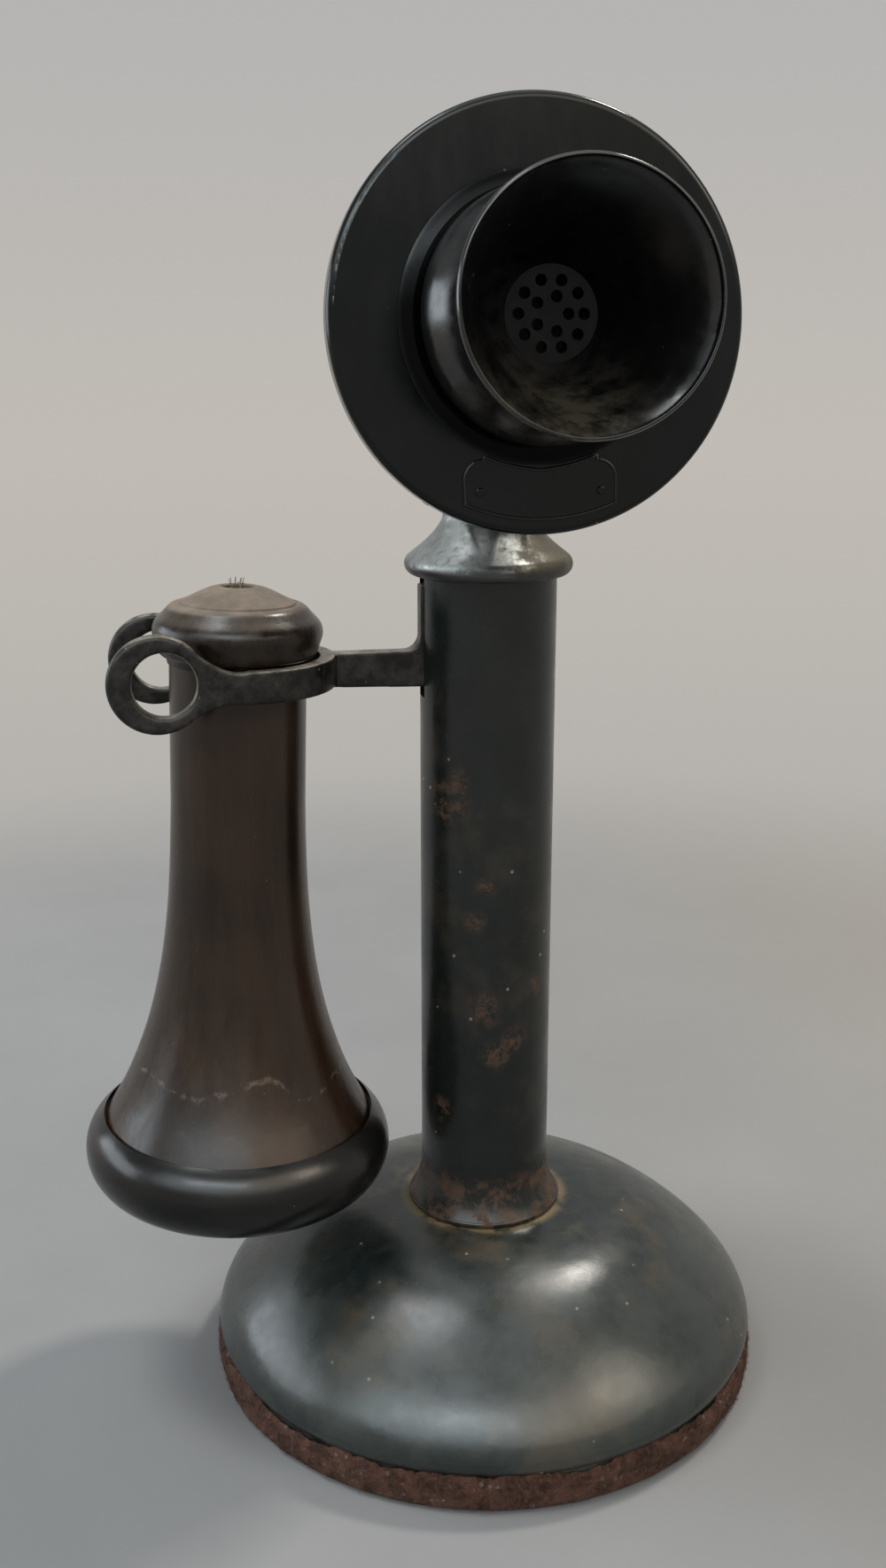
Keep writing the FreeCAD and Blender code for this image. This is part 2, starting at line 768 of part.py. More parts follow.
def contact_spring(index):
    """One upright leaf of the contact stack; later leaves are a little shorter."""
    low_x = first_spring_x + index * spring_pitch
    top = spring_top_height - 2.0 * index
    leaf = box(low_x, low_x + spring_thickness, -spring_width / 2, spring_width / 2, stack_low, top)
    point = cylinder(1.0, 0.5, Vector(low_x + spring_thickness, 0, top - 3.0), X)
    pieces = [leaf, point] if index < 2 else [leaf]
    return joined(pieces).cut(stack_holes())


def spring_insulators():
    """The hard-rubber spacers between the leaves and behind the last one."""
    spacers = []
    for index in range(4):
        low = first_spring_x + (index - 1) * spring_pitch + spring_thickness
        high = low + spring_pitch - spring_thickness
        if index == 3:
            high = frame_back_x - frame_back_thickness
        spacer = box(low, high, -spring_width / 2 - 0.6, spring_width / 2 + 0.6, stack_low, stack_high)
        spacers.append(spacer.cut(stack_holes()))
    return grouped(spacers)


def spring_stack_screws():
    """Two screws that clamp the stack to the frame's back."""
    start = first_spring_x - spring_pitch + spring_thickness
    solids = []
    for height in stack_screw_heights():
        head = cylinder(1.9, 1.1, Vector(start - 1.1, 0, height), X)
        shank = cylinder(stack_screw_radius, frame_back_x - start + 1.2, Vector(start - 0.2, 0, height), X)
        solids.append(joined([head, shank]))
    return grouped(solids)


def hook_return_spring():
    """A flat spring from the frame's foot whose tip bears on the hook's underside."""
    top = arm_bottom_height - part_clearance
    thin = return_spring_thickness
    half = return_spring_width / 2
    foot_top = frame_bottom_height + 2.0
    back_x = hook_pivot_x
    pad = box(frame_front_x, back_x, -frame_cheek_gap / 2, frame_cheek_gap / 2, foot_top - 1.2, foot_top)
    riser = box(frame_front_x, frame_front_x + thin, -half, half, foot_top - 1.2, top)
    tip = box(frame_front_x - 2.6, frame_front_x + thin, -half, half, top - thin, top)
    return joined([pad, riser, tip])


# Transmitter: built about the Z axis, then laid on its own axis

def transmitter_placed(shape):
    """Lay a piece built about Z on the transmitter's axis, facing the front."""
    placed = shape.copy()
    centre = Vector(0, plate_centre_y, plate_centre_height)
    placed.Placement = FreeCAD.Placement(centre, FreeCAD.Rotation(X, 90 - transmitter_tilt_deg))
    return placed


def pivot_in_transmitter():
    """The tilt bolt's place, up and forward, in the transmitter's own frame."""
    tilt = math.radians(transmitter_tilt_deg)
    dy = -plate_centre_y
    dz = tilt_height - plate_centre_height
    up = dy * math.sin(tilt) + dz * math.cos(tilt)
    forward = -dy * math.cos(tilt) + dz * math.sin(tilt)
    return up, forward


def faceplate():
    """The front disc: flat face, rounded edge, turned-back rim and a low boss for the bell."""
    r = plate_radius
    e = plate_edge_round
    hole = neck_radius + thread_clearance
    boss = plate_boss_radius
    body = turned([
        line((hole, -plate_thickness), (hole, plate_boss_height)),
        line((hole, plate_boss_height), (boss - 1.8, plate_boss_height)),
        curve([(boss - 1.8, plate_boss_height), (boss - 0.7, plate_boss_height * 0.66), (boss + 0.9, 0.0)]),
        line((boss + 0.9, 0), (r - e, 0)),
        arc((r - e, 0), (r - e * (1 - math.sqrt(0.5)), -e * (1 - math.sqrt(0.5))), (r, -e)),
        line((r, -e), (r, -plate_rim_depth)),
        line((r, -plate_rim_depth), (r - plate_rim_wall, -plate_rim_depth)),
        line((r - plate_rim_wall, -plate_rim_depth), (r - plate_rim_wall, -plate_thickness)),
        line((r - plate_rim_wall, -plate_thickness), (hole, -plate_thickness)),
    ])
    screw_hole = cylinder(plate_screw_radius + running_clearance, plate_screw_bite + 0.2,
                          Vector(plate_screw_circle_radius, 0, -plate_thickness))
    post_hole = cylinder(bridge_screw_radius + running_clearance, plate_screw_bite,
                         Vector(bridge_post_place, 0, -plate_thickness))
    rivet_holes = [cylinder(badge_rivet_shank_radius + running_clearance, far, Vector(x, rivet_drop(), -far / 2))
                   for x in rivet_places()]
    return body.cut(around(screw_hole, plate_screw_count, 45) + around(post_hole, 2) + rivet_holes)


def rivet_places():
    """Sideways places of the badge's two rivets."""
    return (-badge_rivet_place, badge_rivet_place)


def rivet_drop():
    """Height of the rivets, below the transmitter's axis."""
    return -badge_rivet_drop


def faceplate_badge():
    """The blank badge near the faceplate's lower edge: a curved strip with a lobe at each top corner."""
    half = badge_width / 2
    lobe_x = half - badge_lobe_radius
    window = box(-lobe_x, lobe_x, -far, 0, -1, 1).fuse(box(-half, half, -far, -badge_lobe_drop, -1, 1))
    strip = ring(badge_outer_radius, badge_inner_radius, 0, badge_thickness).common(window)
    lobes = [cylinder(badge_lobe_radius, badge_thickness, Vector(side * lobe_x, -badge_lobe_drop, 0))
             for side in (-1, 1)]
    holes = [cylinder(badge_rivet_shank_radius + running_clearance, far, Vector(x, rivet_drop(), -far / 2))
             for x in rivet_places()]
    return joined([strip] + lobes).cut(holes)


def badge_rivets():
    """Two small rivets that hold the badge."""
    solids = []
    for x in rivet_places():
        y = rivet_drop()
        head = cylinder(badge_rivet_radius, 0.5, Vector(x, y, badge_thickness))
        head = head.makeFillet(0.3, [e for e in head.Edges if e.CenterOfMass.z > badge_thickness + 0.4])
        shank_length = plate_thickness + badge_thickness
        shank = cylinder(badge_rivet_shank_radius, shank_length, Vector(x, y, -plate_thickness))
        solids.append(joined([head, shank]))
    return grouped(solids)


cup_front = -plate_thickness
cup_back = cup_front - cup_depth


def transmitter_cup():
    """The back shell with its flange, the tongue for the tilt bolt and the cord hole."""
    r = cup_radius
    w = cup_wall
    b = cup_back_round
    k = 1 - math.sqrt(0.5)
    outer = turned([
        line((0, cup_front), (cup_flange_radius, cup_front)),
        line((cup_flange_radius, cup_front), (cup_flange_radius, cup_front - cup_flange_thickness)),
        line((cup_flange_radius, cup_front - cup_flange_thickness), (r, cup_front - cup_flange_thickness)),
        line((r, cup_front - cup_flange_thickness), (r - 1.4, cup_back + b)),
        arc((r - 1.4, cup_back + b), (r - 1.4 - b * k, cup_back + b * k), (r - 1.4 - b, cup_back)),
        line((r - 1.4 - b, cup_back), (0, cup_back)),
        line((0, cup_back), (0, cup_front)),
    ])
    i = r - w
    inner = turned([
        line((0, cup_front + 1), (i, cup_front + 1)),
        line((i, cup_front + 1), (i - 1.4, cup_back + b)),
        arc((i - 1.4, cup_back + b), (i - 1.4 - (b - w) * k, cup_back + w + (b - w) * k),
            (i - 1.4 - (b - w), cup_back + w)),
        line((i - 1.4 - (b - w), cup_back + w), (0, cup_back + w)),
        line((0, cup_back + w), (0, cup_front + 1)),
    ])
    up, forward = pivot_in_transmitter()
    round_end = cylinder(ear_round_radius - 0.3, tongue_thickness, Vector(-tongue_half, up, forward), X)
    e = ear_round_radius - 0.3
    corners = [Vector(0, up - e, forward), Vector(0, up - e, cup_back + 7.5), Vector(0, up + 13, cup_back + 1.0),
               Vector(0, up + 11, cup_back - 1.2), Vector(0, up + e, forward)]
    face = Part.Face(Part.makePolygon(corners + corners[:1]))
    web = face.extrude(Vector(tongue_thickness, 0, 0))
    web.translate(Vector(-tongue_half, 0, 0))
    tongue = joined([web, round_end]).cut(inner)
    bolt_hole = cylinder(tilt_bolt_radius + running_clearance, far, Vector(-far / 2, up, forward), X)
    cord_hole = cylinder(transmitter_cord_hole_radius, 2 * cup_wall + 6, Vector(13.5, -12.0, cup_back - 3))
    screw_hole = cylinder(plate_screw_radius + thread_clearance, far,
                          Vector(plate_screw_circle_radius, 0, -far / 2))
    shell = joined([outer.cut(inner), tongue])
    return shell.cut([bolt_hole, cord_hole] + around(screw_hole, plate_screw_count, 45))


def faceplate_screws():
    """Screws from behind through the cup's flange into the faceplate."""
    head_bottom = cup_front - cup_flange_thickness - plate_screw_head_height
    place = Vector(plate_screw_circle_radius, 0, head_bottom)
    head = cylinder(plate_screw_head_radius, plate_screw_head_height, place)
    shank_length = plate_screw_head_height + cup_flange_thickness + plate_screw_bite
    shank = cylinder(plate_screw_radius, shank_length, place)
    return grouped(around(joined([head, shank]), plate_screw_count, 45))


def bell_inside():
    """Inner curve of the bell, from the grille to the lip."""
    span = mouth_length - mouth_lip_radius - grille_position
    spread = mouth_radius - 2 * mouth_lip_radius + 0.3 - grille_radius
    shape = [(0.0, 0.0), (0.2, 0.19), (0.42, 0.4), (0.64, 0.61), (0.84, 0.83), (1.0, 1.0)]
    return [(grille_radius + v * spread, grille_position + u * span) for u, v in shape]


def mouthpiece():
    """The bell: rolled lip, waist, round shoulder, grille and the neck through the faceplate."""
    seat = plate_boss_height
    lip_z = mouth_length - mouth_lip_radius
    lip_r = mouth_radius - mouth_lip_radius
    inside = bell_inside()
    back = grille_position - grille_thickness
    throat = neck_radius - 3.0
    sh = mouth_shoulder_radius
    body = turned([
        line((0, grille_position), inside[0]),
        curve(inside),
        arc(inside[-1], (lip_r, mouth_length), (mouth_radius, lip_z)),
        curve([(mouth_radius, lip_z), (mouth_radius - 1.5, lip_z - 3.6),
               (mouth_waist_radius + 0.9, mouth_waist_position + 6.5),
               (mouth_waist_radius + 0.35, mouth_waist_position),
               (mouth_waist_radius + 2.3, mouth_shoulder_position + 6.0),
               (sh - 0.5, mouth_shoulder_position + 2.4), (sh, mouth_shoulder_position - 0.4),
               (sh - 0.7, mouth_shoulder_position - 4.0), (sh - 3.2, seat)]),
        line((sh - 3.2, seat), (neck_radius, seat)),
        line((neck_radius, seat), (neck_radius, -neck_length)),
        line((neck_radius, -neck_length), (throat, -neck_length)),
        line((throat, -neck_length), (throat, back)),
        line((throat, back), (0, back)),
        line((0, back), (0, grille_position)),
    ])
    outer_hole = cylinder(grille_hole_radius, 3 * grille_thickness,
                          Vector(grille_outer_circle, 0, back - grille_thickness))
    inner_hole = cylinder(grille_hole_radius, 3 * grille_thickness,
                          Vector(grille_inner_circle, 0, back - grille_thickness))
    holes = around(outer_hole, grille_outer_count, 0) + around(inner_hole, grille_inner_count, 18)
    return body.cut(holes)


def transmitter_diaphragm():
    """The thin aluminium disc behind the neck."""
    half = diaphragm_thickness / 2
    return cylinder(diaphragm_radius, diaphragm_thickness, Vector(0, 0, diaphragm_position - half))


def diaphragm_gasket():
    """The rubber ring folded round the diaphragm's edge."""
    half = gasket_thickness / 2
    body = ring(diaphragm_radius + gasket_width / 2, diaphragm_radius - gasket_width / 2,
                diaphragm_position - half, cup_front)
    slit = cylinder(diaphragm_radius + running_clearance, diaphragm_thickness + 0.1,
                    Vector(0, 0, diaphragm_position - diaphragm_thickness / 2 - 0.05))
    return body.cut(slit)


def button_front_electrode():
    """The small brass foot between the diaphragm and the carbon button."""
    front = diaphragm_position - diaphragm_thickness / 2
    return cylinder(electrode_radius, 2.0, Vector(0, 0, front - 2.0))


button_front = diaphragm_position - diaphragm_thickness / 2 - 2.0
bridge_front = button_front - button_depth


def carbon_button():
    """The brass case of the carbon granules, with its threaded tail through the bridge."""
    tail_length = bridge_thickness + button_nut_thickness + 1.5
    case = cylinder(button_radius, button_depth, Vector(0, 0, bridge_front))
    tail = cylinder(button_tail_radius, tail_length, Vector(0, 0, bridge_front - tail_length))
    return joined([case, tail])


def button_nut():
    """The nut that holds the button to the bridge."""
    back = bridge_front - bridge_thickness
    nut = hexagon(button_nut_radius, button_nut_thickness, Vector(0, 0, back - button_nut_thickness))
    return nut.cut(cylinder(button_tail_radius + running_clearance, far, Vector(0, 0, -far)))


def button_bridge():
    """The bar that carries the button, held off the faceplate by two posts."""
    back = bridge_front - bridge_thickness
    reach = bridge_post_place + bridge_post_radius
    bar = box(-reach, reach, -bridge_width / 2, bridge_width / 2, back, bridge_front)
    bar = bar.common(cylinder(reach, bridge_thickness, Vector(0, 0, back)))
    hole = cylinder(button_tail_radius + running_clearance, far, Vector(0, 0, -far))
    screw_hole = cylinder(bridge_screw_radius + thread_clearance, far, Vector(bridge_post_place, 0, -far))
    return bar.cut([hole] + around(screw_hole, 2))


def bridge_posts():
    """Two posts between the faceplate's back and the bridge."""
    height = cup_front - bridge_front
    post = cylinder(bridge_post_radius, height, Vector(bridge_post_place, 0, bridge_front))
    hole = cylinder(bridge_screw_radius + running_clearance, height, Vector(bridge_post_place, 0, bridge_front))
    return grouped(around(post.cut(hole), 2))


def bridge_screws():
    """Two long screws through the bridge and its posts into the faceplate."""
    back = bridge_front - bridge_thickness
    head_height = 1.4
    place = Vector(bridge_post_place, 0, back - head_height)
    head = cylinder(bridge_screw_head_radius, head_height, place)
    shank = cylinder(bridge_screw_radius, cup_front - place.z + plate_screw_bite - 0.2, place)
    return grouped(around(joined([head, shank]), 2))


def receiver_placed(shape):
    """Hang a piece built about Z in the fork, leaning as the receiver does."""
    placed = shape.copy()
    placed.translate(Vector(receiver_x, 0, 0))
    placed.rotate(Vector(receiver_x, 0, receiver_lean_height), Y, receiver_lean_deg)
    return placed


# Receiver

def shell_points():
    """The outer curve of the shell, from the seam to the straight neck."""
    return [(shell_seam_radius, shell_seam_height), (30.0, 75.2), (28.2, 78.6), (26.1, 83.3), (24.3, 88.0),
            (22.6, 93.0), (21.15, 98.0), (19.75, 104.0), (18.6, 110.0), (17.5, 118.0), (16.7, 126.0),
            (16.1, 136.0), (neck_outer_radius, neck_straight_height)]


def receiver_shell():
    """The hard-rubber shell: straight neck, flare and the spigot that the ear cap screws on."""
    outer = shell_points()
    foot = shell_seam_radius - 0.3
    inner = [(r - shell_wall, z) for r, z in outer[1:-1]] + [(neck_bore_radius, neck_straight_height)]
    inner_low = (inner[0][0] - 1.2, shell_seam_height)
    body = turned([
        curve(outer),
        line(outer[-1], (neck_outer_radius, shell_top_height)),
        line((neck_outer_radius, shell_top_height), (neck_bore_radius, shell_top_height)),
        line((neck_bore_radius, shell_top_height), inner[-1]),
        curve(list(reversed(inner))),
        line(inner[0], (inner_low[0], shell_end_height)),
        line((inner_low[0], shell_end_height), (shell_spigot_radius, shell_end_height)),
        line((shell_spigot_radius, shell_end_height), (shell_spigot_radius, shell_seam_height)),
        line((shell_spigot_radius, shell_seam_height), outer[0]),
    ])
    return body


def ear_cap():
    """The round cap with its dished face and the hole at its centre."""
    rr = ear_ring_radius
    s = ear_section_radius
    zc = ear_section_height
    seam_r = shell_seam_radius + 0.35
    seam_z = zc + math.sqrt(s * s - (seam_r - rr) ** 2)
    seam_face = shell_seam_height - part_clearance
    bore = shell_spigot_radius + thread_clearance
    floor = shell_end_height - receiver_diaphragm_thickness - 0.2
    underside = floor - ear_floor_thickness
    low = (rr - 1.6, zc - math.sqrt(s * s - 1.6 ** 2))
    body = turned([
        line((ear_hole_radius, floor), (bore, floor)),
        line((bore, floor), (bore, seam_face)),
        line((bore, seam_face), (seam_r, seam_face)),
        line((seam_r, seam_face), (seam_r, seam_z)),
        arc((seam_r, seam_z), (rr + s, zc), low),
        curve([low, (ear_face_round_radius, ear_face_round_height),
               (ear_face_dish_radius, ear_face_dish_height), (ear_hole_radius, ear_dish_height)]),
        line((ear_hole_radius, ear_dish_height), (ear_hole_radius, floor)),
    ])
    return body


def receiver_diaphragm():
    """The thin iron disc between the shell's end and the ear cap's floor."""
    floor = shell_end_height - receiver_diaphragm_thickness - 0.2
    return cylinder(receiver_diaphragm_radius, receiver_diaphragm_thickness, Vector(0, 0, floor + 0.1))


def receiver_cap():
    """The round top cap: body, ledge, low dome with the cord hole and the spigot in the neck."""
    r = receiver_cap_radius
    zc = receiver_cap_widest_height
    spigot = neck_bore_radius - cap_fit
    spigot_bottom = shell_top_height - cap_spigot_length
    ledge_r = receiver_cap_ledge_radius
    ledge_z = receiver_cap_ledge_height
    top = receiver_cap_top_height
    hole = receiver_cord_hole_radius
    foot_r = neck_outer_radius + 0.4
    seat_z = arm_top_height + receiver_cap_seat_rise
    body = turned([
        line((hole, spigot_bottom), (spigot, spigot_bottom)),
        line((spigot, spigot_bottom), (spigot, shell_top_height)),
        line((spigot, shell_top_height), (foot_r, shell_top_height)),
        line((foot_r, shell_top_height), (foot_r + 0.3, seat_z - 0.3)),
        curve([(foot_r + 0.3, seat_z - 0.3), (foot_r + 1.4, seat_z), (r - 0.65, zc - 2.6),
               (r, zc), (r - 0.6, zc + 2.2), (r - 2.6, zc + 4.4), (ledge_r + 2.2, ledge_z - 0.55),
               (ledge_r, ledge_z)]),
        line((ledge_r, ledge_z), (ledge_r - 0.25, ledge_z + 0.45)),
        curve([(ledge_r - 0.25, ledge_z + 0.45), (ledge_r - 4.3, ledge_z + 2.35), (hole + 2.4, top - 0.35),
               (hole + 0.35, top)]),
        line((hole + 0.35, top), (hole, top - 0.35)),
        line((hole, top - 0.35), (hole, spigot_bottom)),
    ])
    room = cylinder(cap_room_radius, cap_room_height, Vector(0, 0, spigot_bottom - 1))
    return body.cut(room)


def cord_stub():
    """The last of the cut cord, knotted inside the cap."""
    roof = shell_top_height - cap_spigot_length - 1 + cap_room_height
    knot_height = 3.0
    stub = cylinder(cord_stub_radius, cord_stub_height - roof + knot_height, Vector(0, 0, roof - knot_height))
    knot = cylinder(receiver_cord_hole_radius + 1.6, knot_height,
                    Vector(0, 0, roof - part_clearance - knot_height))
    return joined([stub, knot])


pole_tip_height = shell_end_height + pole_gap
coil_low = pole_tip_height + 1.5
coil_high = coil_low + coil_length
yoke_height = coil_high + 1.0


def pole_pieces():
    """Two soft-iron poles whose feet lie on the pole plate."""
    half = pole_thickness / 2
    foot_top = yoke_height + pole_foot_thickness
    web = box(pole_spacing / 2 - half, pole_spacing / 2 + half, -pole_width / 2, pole_width / 2,
              pole_tip_height, foot_top)
    foot = box(pole_foot_inner, pole_spacing / 2 + half, -pole_width / 2, pole_width / 2, yoke_height, foot_top)
    return grouped(around(joined([web, foot]), 2))


def pole_plate():
    """The brass disc in the shell's flare that carries the poles and magnets."""
    disc = cylinder(pole_plate_radius, yoke_height - coil_high, Vector(0, 0, coil_high))
    half = pole_thickness / 2 + running_clearance
    wide = pole_width / 2 + running_clearance
    window = box(pole_spacing / 2 - half, pole_spacing / 2 + half, -wide, wide, coil_high - 1, yoke_height + 1)
    return disc.cut(around(window, 2))


def receiver_coils():
    """One coil of fine wire round each pole."""
    x = pole_spacing / 2
    half = pole_thickness / 2 + running_clearance
    wide = pole_width / 2 + running_clearance
    core = box(x - half, x + half, -wide, wide, coil_low - 1, coil_high + 1)
    body = box(x - half - coil_wall, x + half + coil_wall, -wide - coil_wall, wide + coil_wall,
               coil_low, coil_high)
    upright = [e for e in body.Edges if abs(e.tangentAt(e.FirstParameter).z) > 0.9]
    return grouped(around(body.makeFillet(2.0, upright).cut(core), 2))


def receiver_magnets():
    """Two long bar magnets that stand on the poles' feet."""
    magnet = box(magnet_spacing / 2, magnet_spacing / 2 + magnet_thickness, -magnet_width / 2, magnet_width / 2,
                 yoke_height + pole_foot_thickness, magnet_top_height)
    hole = cylinder(magnet_screw_radius + running_clearance, far,
                    Vector(0, 0, magnet_top_height - block_height / 2), X)
    return grouped(around(magnet.cut(hole), 2))


def magnet_screw():
    """The screw through both magnets and the block."""
    outer = magnet_spacing / 2 + magnet_thickness
    height = magnet_top_height - block_height / 2
    head = cylinder(magnet_screw_head_radius, 1.2, Vector(-outer - 1.2, 0, height), X)
    shank = cylinder(magnet_screw_radius, 2 * outer + 1.2, Vector(-outer - 1.2, 0, height), X)
    return joined([head, shank])


def magnet_block():
    """The block that keeps the magnets apart at their top."""
    half = magnet_spacing / 2
    block = box(-half, half, -magnet_width / 2, magnet_width / 2,
                magnet_top_height - block_height, magnet_top_height)
    hole = cylinder(magnet_screw_radius + running_clearance, far,
                    Vector(-far / 2, 0, magnet_top_height - block_height / 2), X)
    return block.cut(hole)


def build_pieces():
    """Every named piece with its shape, where it lies at rest."""
    stand = {
        "base_shell": base_shell(),
        "base_felt": base_felt(),
        "bottom_plate": bottom_plate(),
        "bottom_plate_screws": bottom_plate_screws(),
        "cord_bushing": cord_bushing(),
        "stem_tube": stem_tube(),
        "stem_clamp_washer": stem_clamp_washer(),
        "stem_clamp_nut": stem_clamp_nut(),
        "perch_cap": perch_cap(),
        "perch_screws": perch_screws(),
        "tilt_bolt": tilt_bolt(),
        "tilt_nut": tilt_nut(),
        "switch_frame": switch_frame(),
        "hook_pivot_pin": hook_pivot_pin(),
        "contact_spring_front": contact_spring(0),
        "contact_spring_middle": contact_spring(1),
        "contact_spring_rear": contact_spring(2),
        "spring_insulators": spring_insulators(),
        "spring_stack_screws": spring_stack_screws(),
        "hook_return_spring": hook_return_spring(),
    }
    hook = {
        "switch_hook": switch_hook(),
        "hook_finger": hook_finger(),
    }
    transmitter = {
        "faceplate": faceplate(),
        "faceplate_badge": faceplate_badge(),
        "badge_rivets": badge_rivets(),
        "faceplate_screws": faceplate_screws(),
        "transmitter_cup": transmitter_cup(),
        "mouthpiece": mouthpiece(),
        "transmitter_diaphragm": transmitter_diaphragm(),
        "diaphragm_gasket": diaphragm_gasket(),
        "button_front_electrode": button_front_electrode(),
        "carbon_button": carbon_button(),
        "button_nut": button_nut(),
        "button_bridge": button_bridge(),
        "bridge_posts": bridge_posts(),
        "bridge_screws": bridge_screws(),
    }
    receiver = {
        "receiver_shell": receiver_shell(),
        "ear_cap": ear_cap(),
        "receiver_diaphragm": receiver_diaphragm(),
        "receiver_cap": receiver_cap(),
        "cord_stub": cord_stub(),
        "pole_pieces": pole_pieces(),
        "receiver_coils": receiver_coils(),
        "receiver_magnets": receiver_magnets(),
        "magnet_block": magnet_block(),
        "magnet_screw": magnet_screw(),
        "pole_plate": pole_plate(),
    }
    named = dict(stand)
    named.update(hook)
    named.update({name: transmitter_placed(shape) for name, shape in transmitter.items()})
    named.update({name: receiver_placed(shape) for name, shape in receiver.items()})
    return named


def main():
    """Write one STEP file for each piece."""
    os.makedirs("parts", exist_ok=True)
    for name, shape in build_pieces().items():
        shape.exportStep("parts/" + name + ".step")
        bounds = shape.BoundBox
        print(name, "solids", len(shape.Solids), "valid", shape.isValid(), "volume", round(shape.Volume, 1),
              "z", round(bounds.ZMin, 2), round(bounds.ZMax, 2))


main()
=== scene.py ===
"""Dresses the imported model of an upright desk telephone, with its light, floor and camera."""
import json
import logging
import math
import random
from collections.abc import Callable, Sequence
from dataclasses import dataclass
from enum import Enum
from functools import reduce

import bmesh
import bpy
from mathutils import Matrix, Vector
from mathutils.noise import noise


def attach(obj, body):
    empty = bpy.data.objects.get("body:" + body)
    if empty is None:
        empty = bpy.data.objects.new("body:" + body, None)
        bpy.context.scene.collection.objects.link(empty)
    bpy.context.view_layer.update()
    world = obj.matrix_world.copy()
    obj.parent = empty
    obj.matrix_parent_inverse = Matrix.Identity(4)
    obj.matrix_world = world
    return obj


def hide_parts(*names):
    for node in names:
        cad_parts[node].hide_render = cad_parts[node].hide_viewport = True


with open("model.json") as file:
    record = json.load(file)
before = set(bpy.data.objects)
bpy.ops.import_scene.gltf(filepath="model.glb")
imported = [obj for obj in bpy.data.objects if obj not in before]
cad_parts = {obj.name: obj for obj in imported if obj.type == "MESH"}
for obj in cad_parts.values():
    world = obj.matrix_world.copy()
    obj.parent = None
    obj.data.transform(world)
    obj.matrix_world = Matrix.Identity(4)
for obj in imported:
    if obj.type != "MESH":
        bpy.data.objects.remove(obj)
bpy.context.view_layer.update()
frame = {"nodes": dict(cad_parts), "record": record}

log = logging.getLogger("desk_telephone")

Colour = tuple[float, float, float]
Place = tuple[float, float, float]
Profile = Sequence[tuple[float, float]]
Socket = bpy.types.NodeSocket
MM = 0.001
FULL_TURN = 2 * math.pi


class Body(Enum):
    """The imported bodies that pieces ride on."""

    STAND = "stand"
    HOOK = "hook"
    TRANSMITTER = "transmitter"
    RECEIVER = "receiver"


# Shader graphs


class Graph:
    """A node graph, built from values that feed one another."""

    def __init__(self, tree: bpy.types.NodeTree) -> None:
        """Start with an empty tree."""
        self.tree = tree
        tree.nodes.clear()

    def fill(self, socket: Socket, value: object) -> None:
        """Feed a socket from another one, or set what it holds.

        Args:
            socket: The socket to fill.
            value: A socket, a colour, a vector or a number.
        """
        if isinstance(value, Socket):
            self.tree.links.new(value, socket)
        elif socket.type == "RGBA":
            socket.default_value = (*value, 1.0)
        else:
            socket.default_value = value

    def node(self, kind: str, inputs: dict[str | int, object], **settings: object) -> bpy.types.Node:
        """Add a node and fill its sockets.

        Args:
            kind: The node's type name.
            inputs: Values or sockets by input name or number.
            settings: Attributes of the node.

        Returns:
            The new node.
        """
        made = self.tree.nodes.new(kind)
        for key, value in settings.items():
            setattr(made, key, value)
        for key, value in inputs.items():
            self.fill(made.inputs[key], value)
        return made

    def maths(self, operation: str, a: object, b: object = 0.0) -> Socket:
        """One sum of two values."""
        return self.node("ShaderNodeMath", {0: a, 1: b}, operation=operation).outputs[0]

    def times(self, *values: object) -> Socket:
        """The product of some values."""
        return reduce(lambda a, b: self.maths("MULTIPLY", a, b), values)

    def highest(self, *values: object) -> Socket:
        """The highest of some values."""
        return reduce(lambda a, b: self.maths("MAXIMUM", a, b), values)

    def between(self, value: Socket, low: float, high: float, to_low: float = 0.0, to_high: float = 1.0) -> Socket:
        """A value moved from one range to another, smooth at both ends and clamped.

        Args:
            value: The value to move.
            low: Where the first range starts.
            high: Where the first range ends.
            to_low: What low becomes.
            to_high: What high becomes.

        Returns:
            The moved value.
        """
        inputs = {"Value": value, "From Min": low, "From Max": high, "To Min": to_low, "To Max": to_high}
        return self.node("ShaderNodeMapRange", inputs, interpolation_type="SMOOTHSTEP").outputs[0]

    def fading(self, value: Socket, low: float, high: float, start: float = 1.0) -> Socket:
        """A value that falls from its start at low to 0 at high."""
        return self.between(value, low, high, start, 0.0)

    def colour(self, factor: object, under: object, over: object) -> Socket:
        """Lay one colour over another.

        Args:
            factor: How much of the upper colour shows.
            under: The lower colour.
            over: The upper colour.

        Returns:
            The new colour.
        """
        mix = {0: factor, 6: under, 7: over}
        return self.node("ShaderNodeMix", mix, data_type="RGBA").outputs[2]


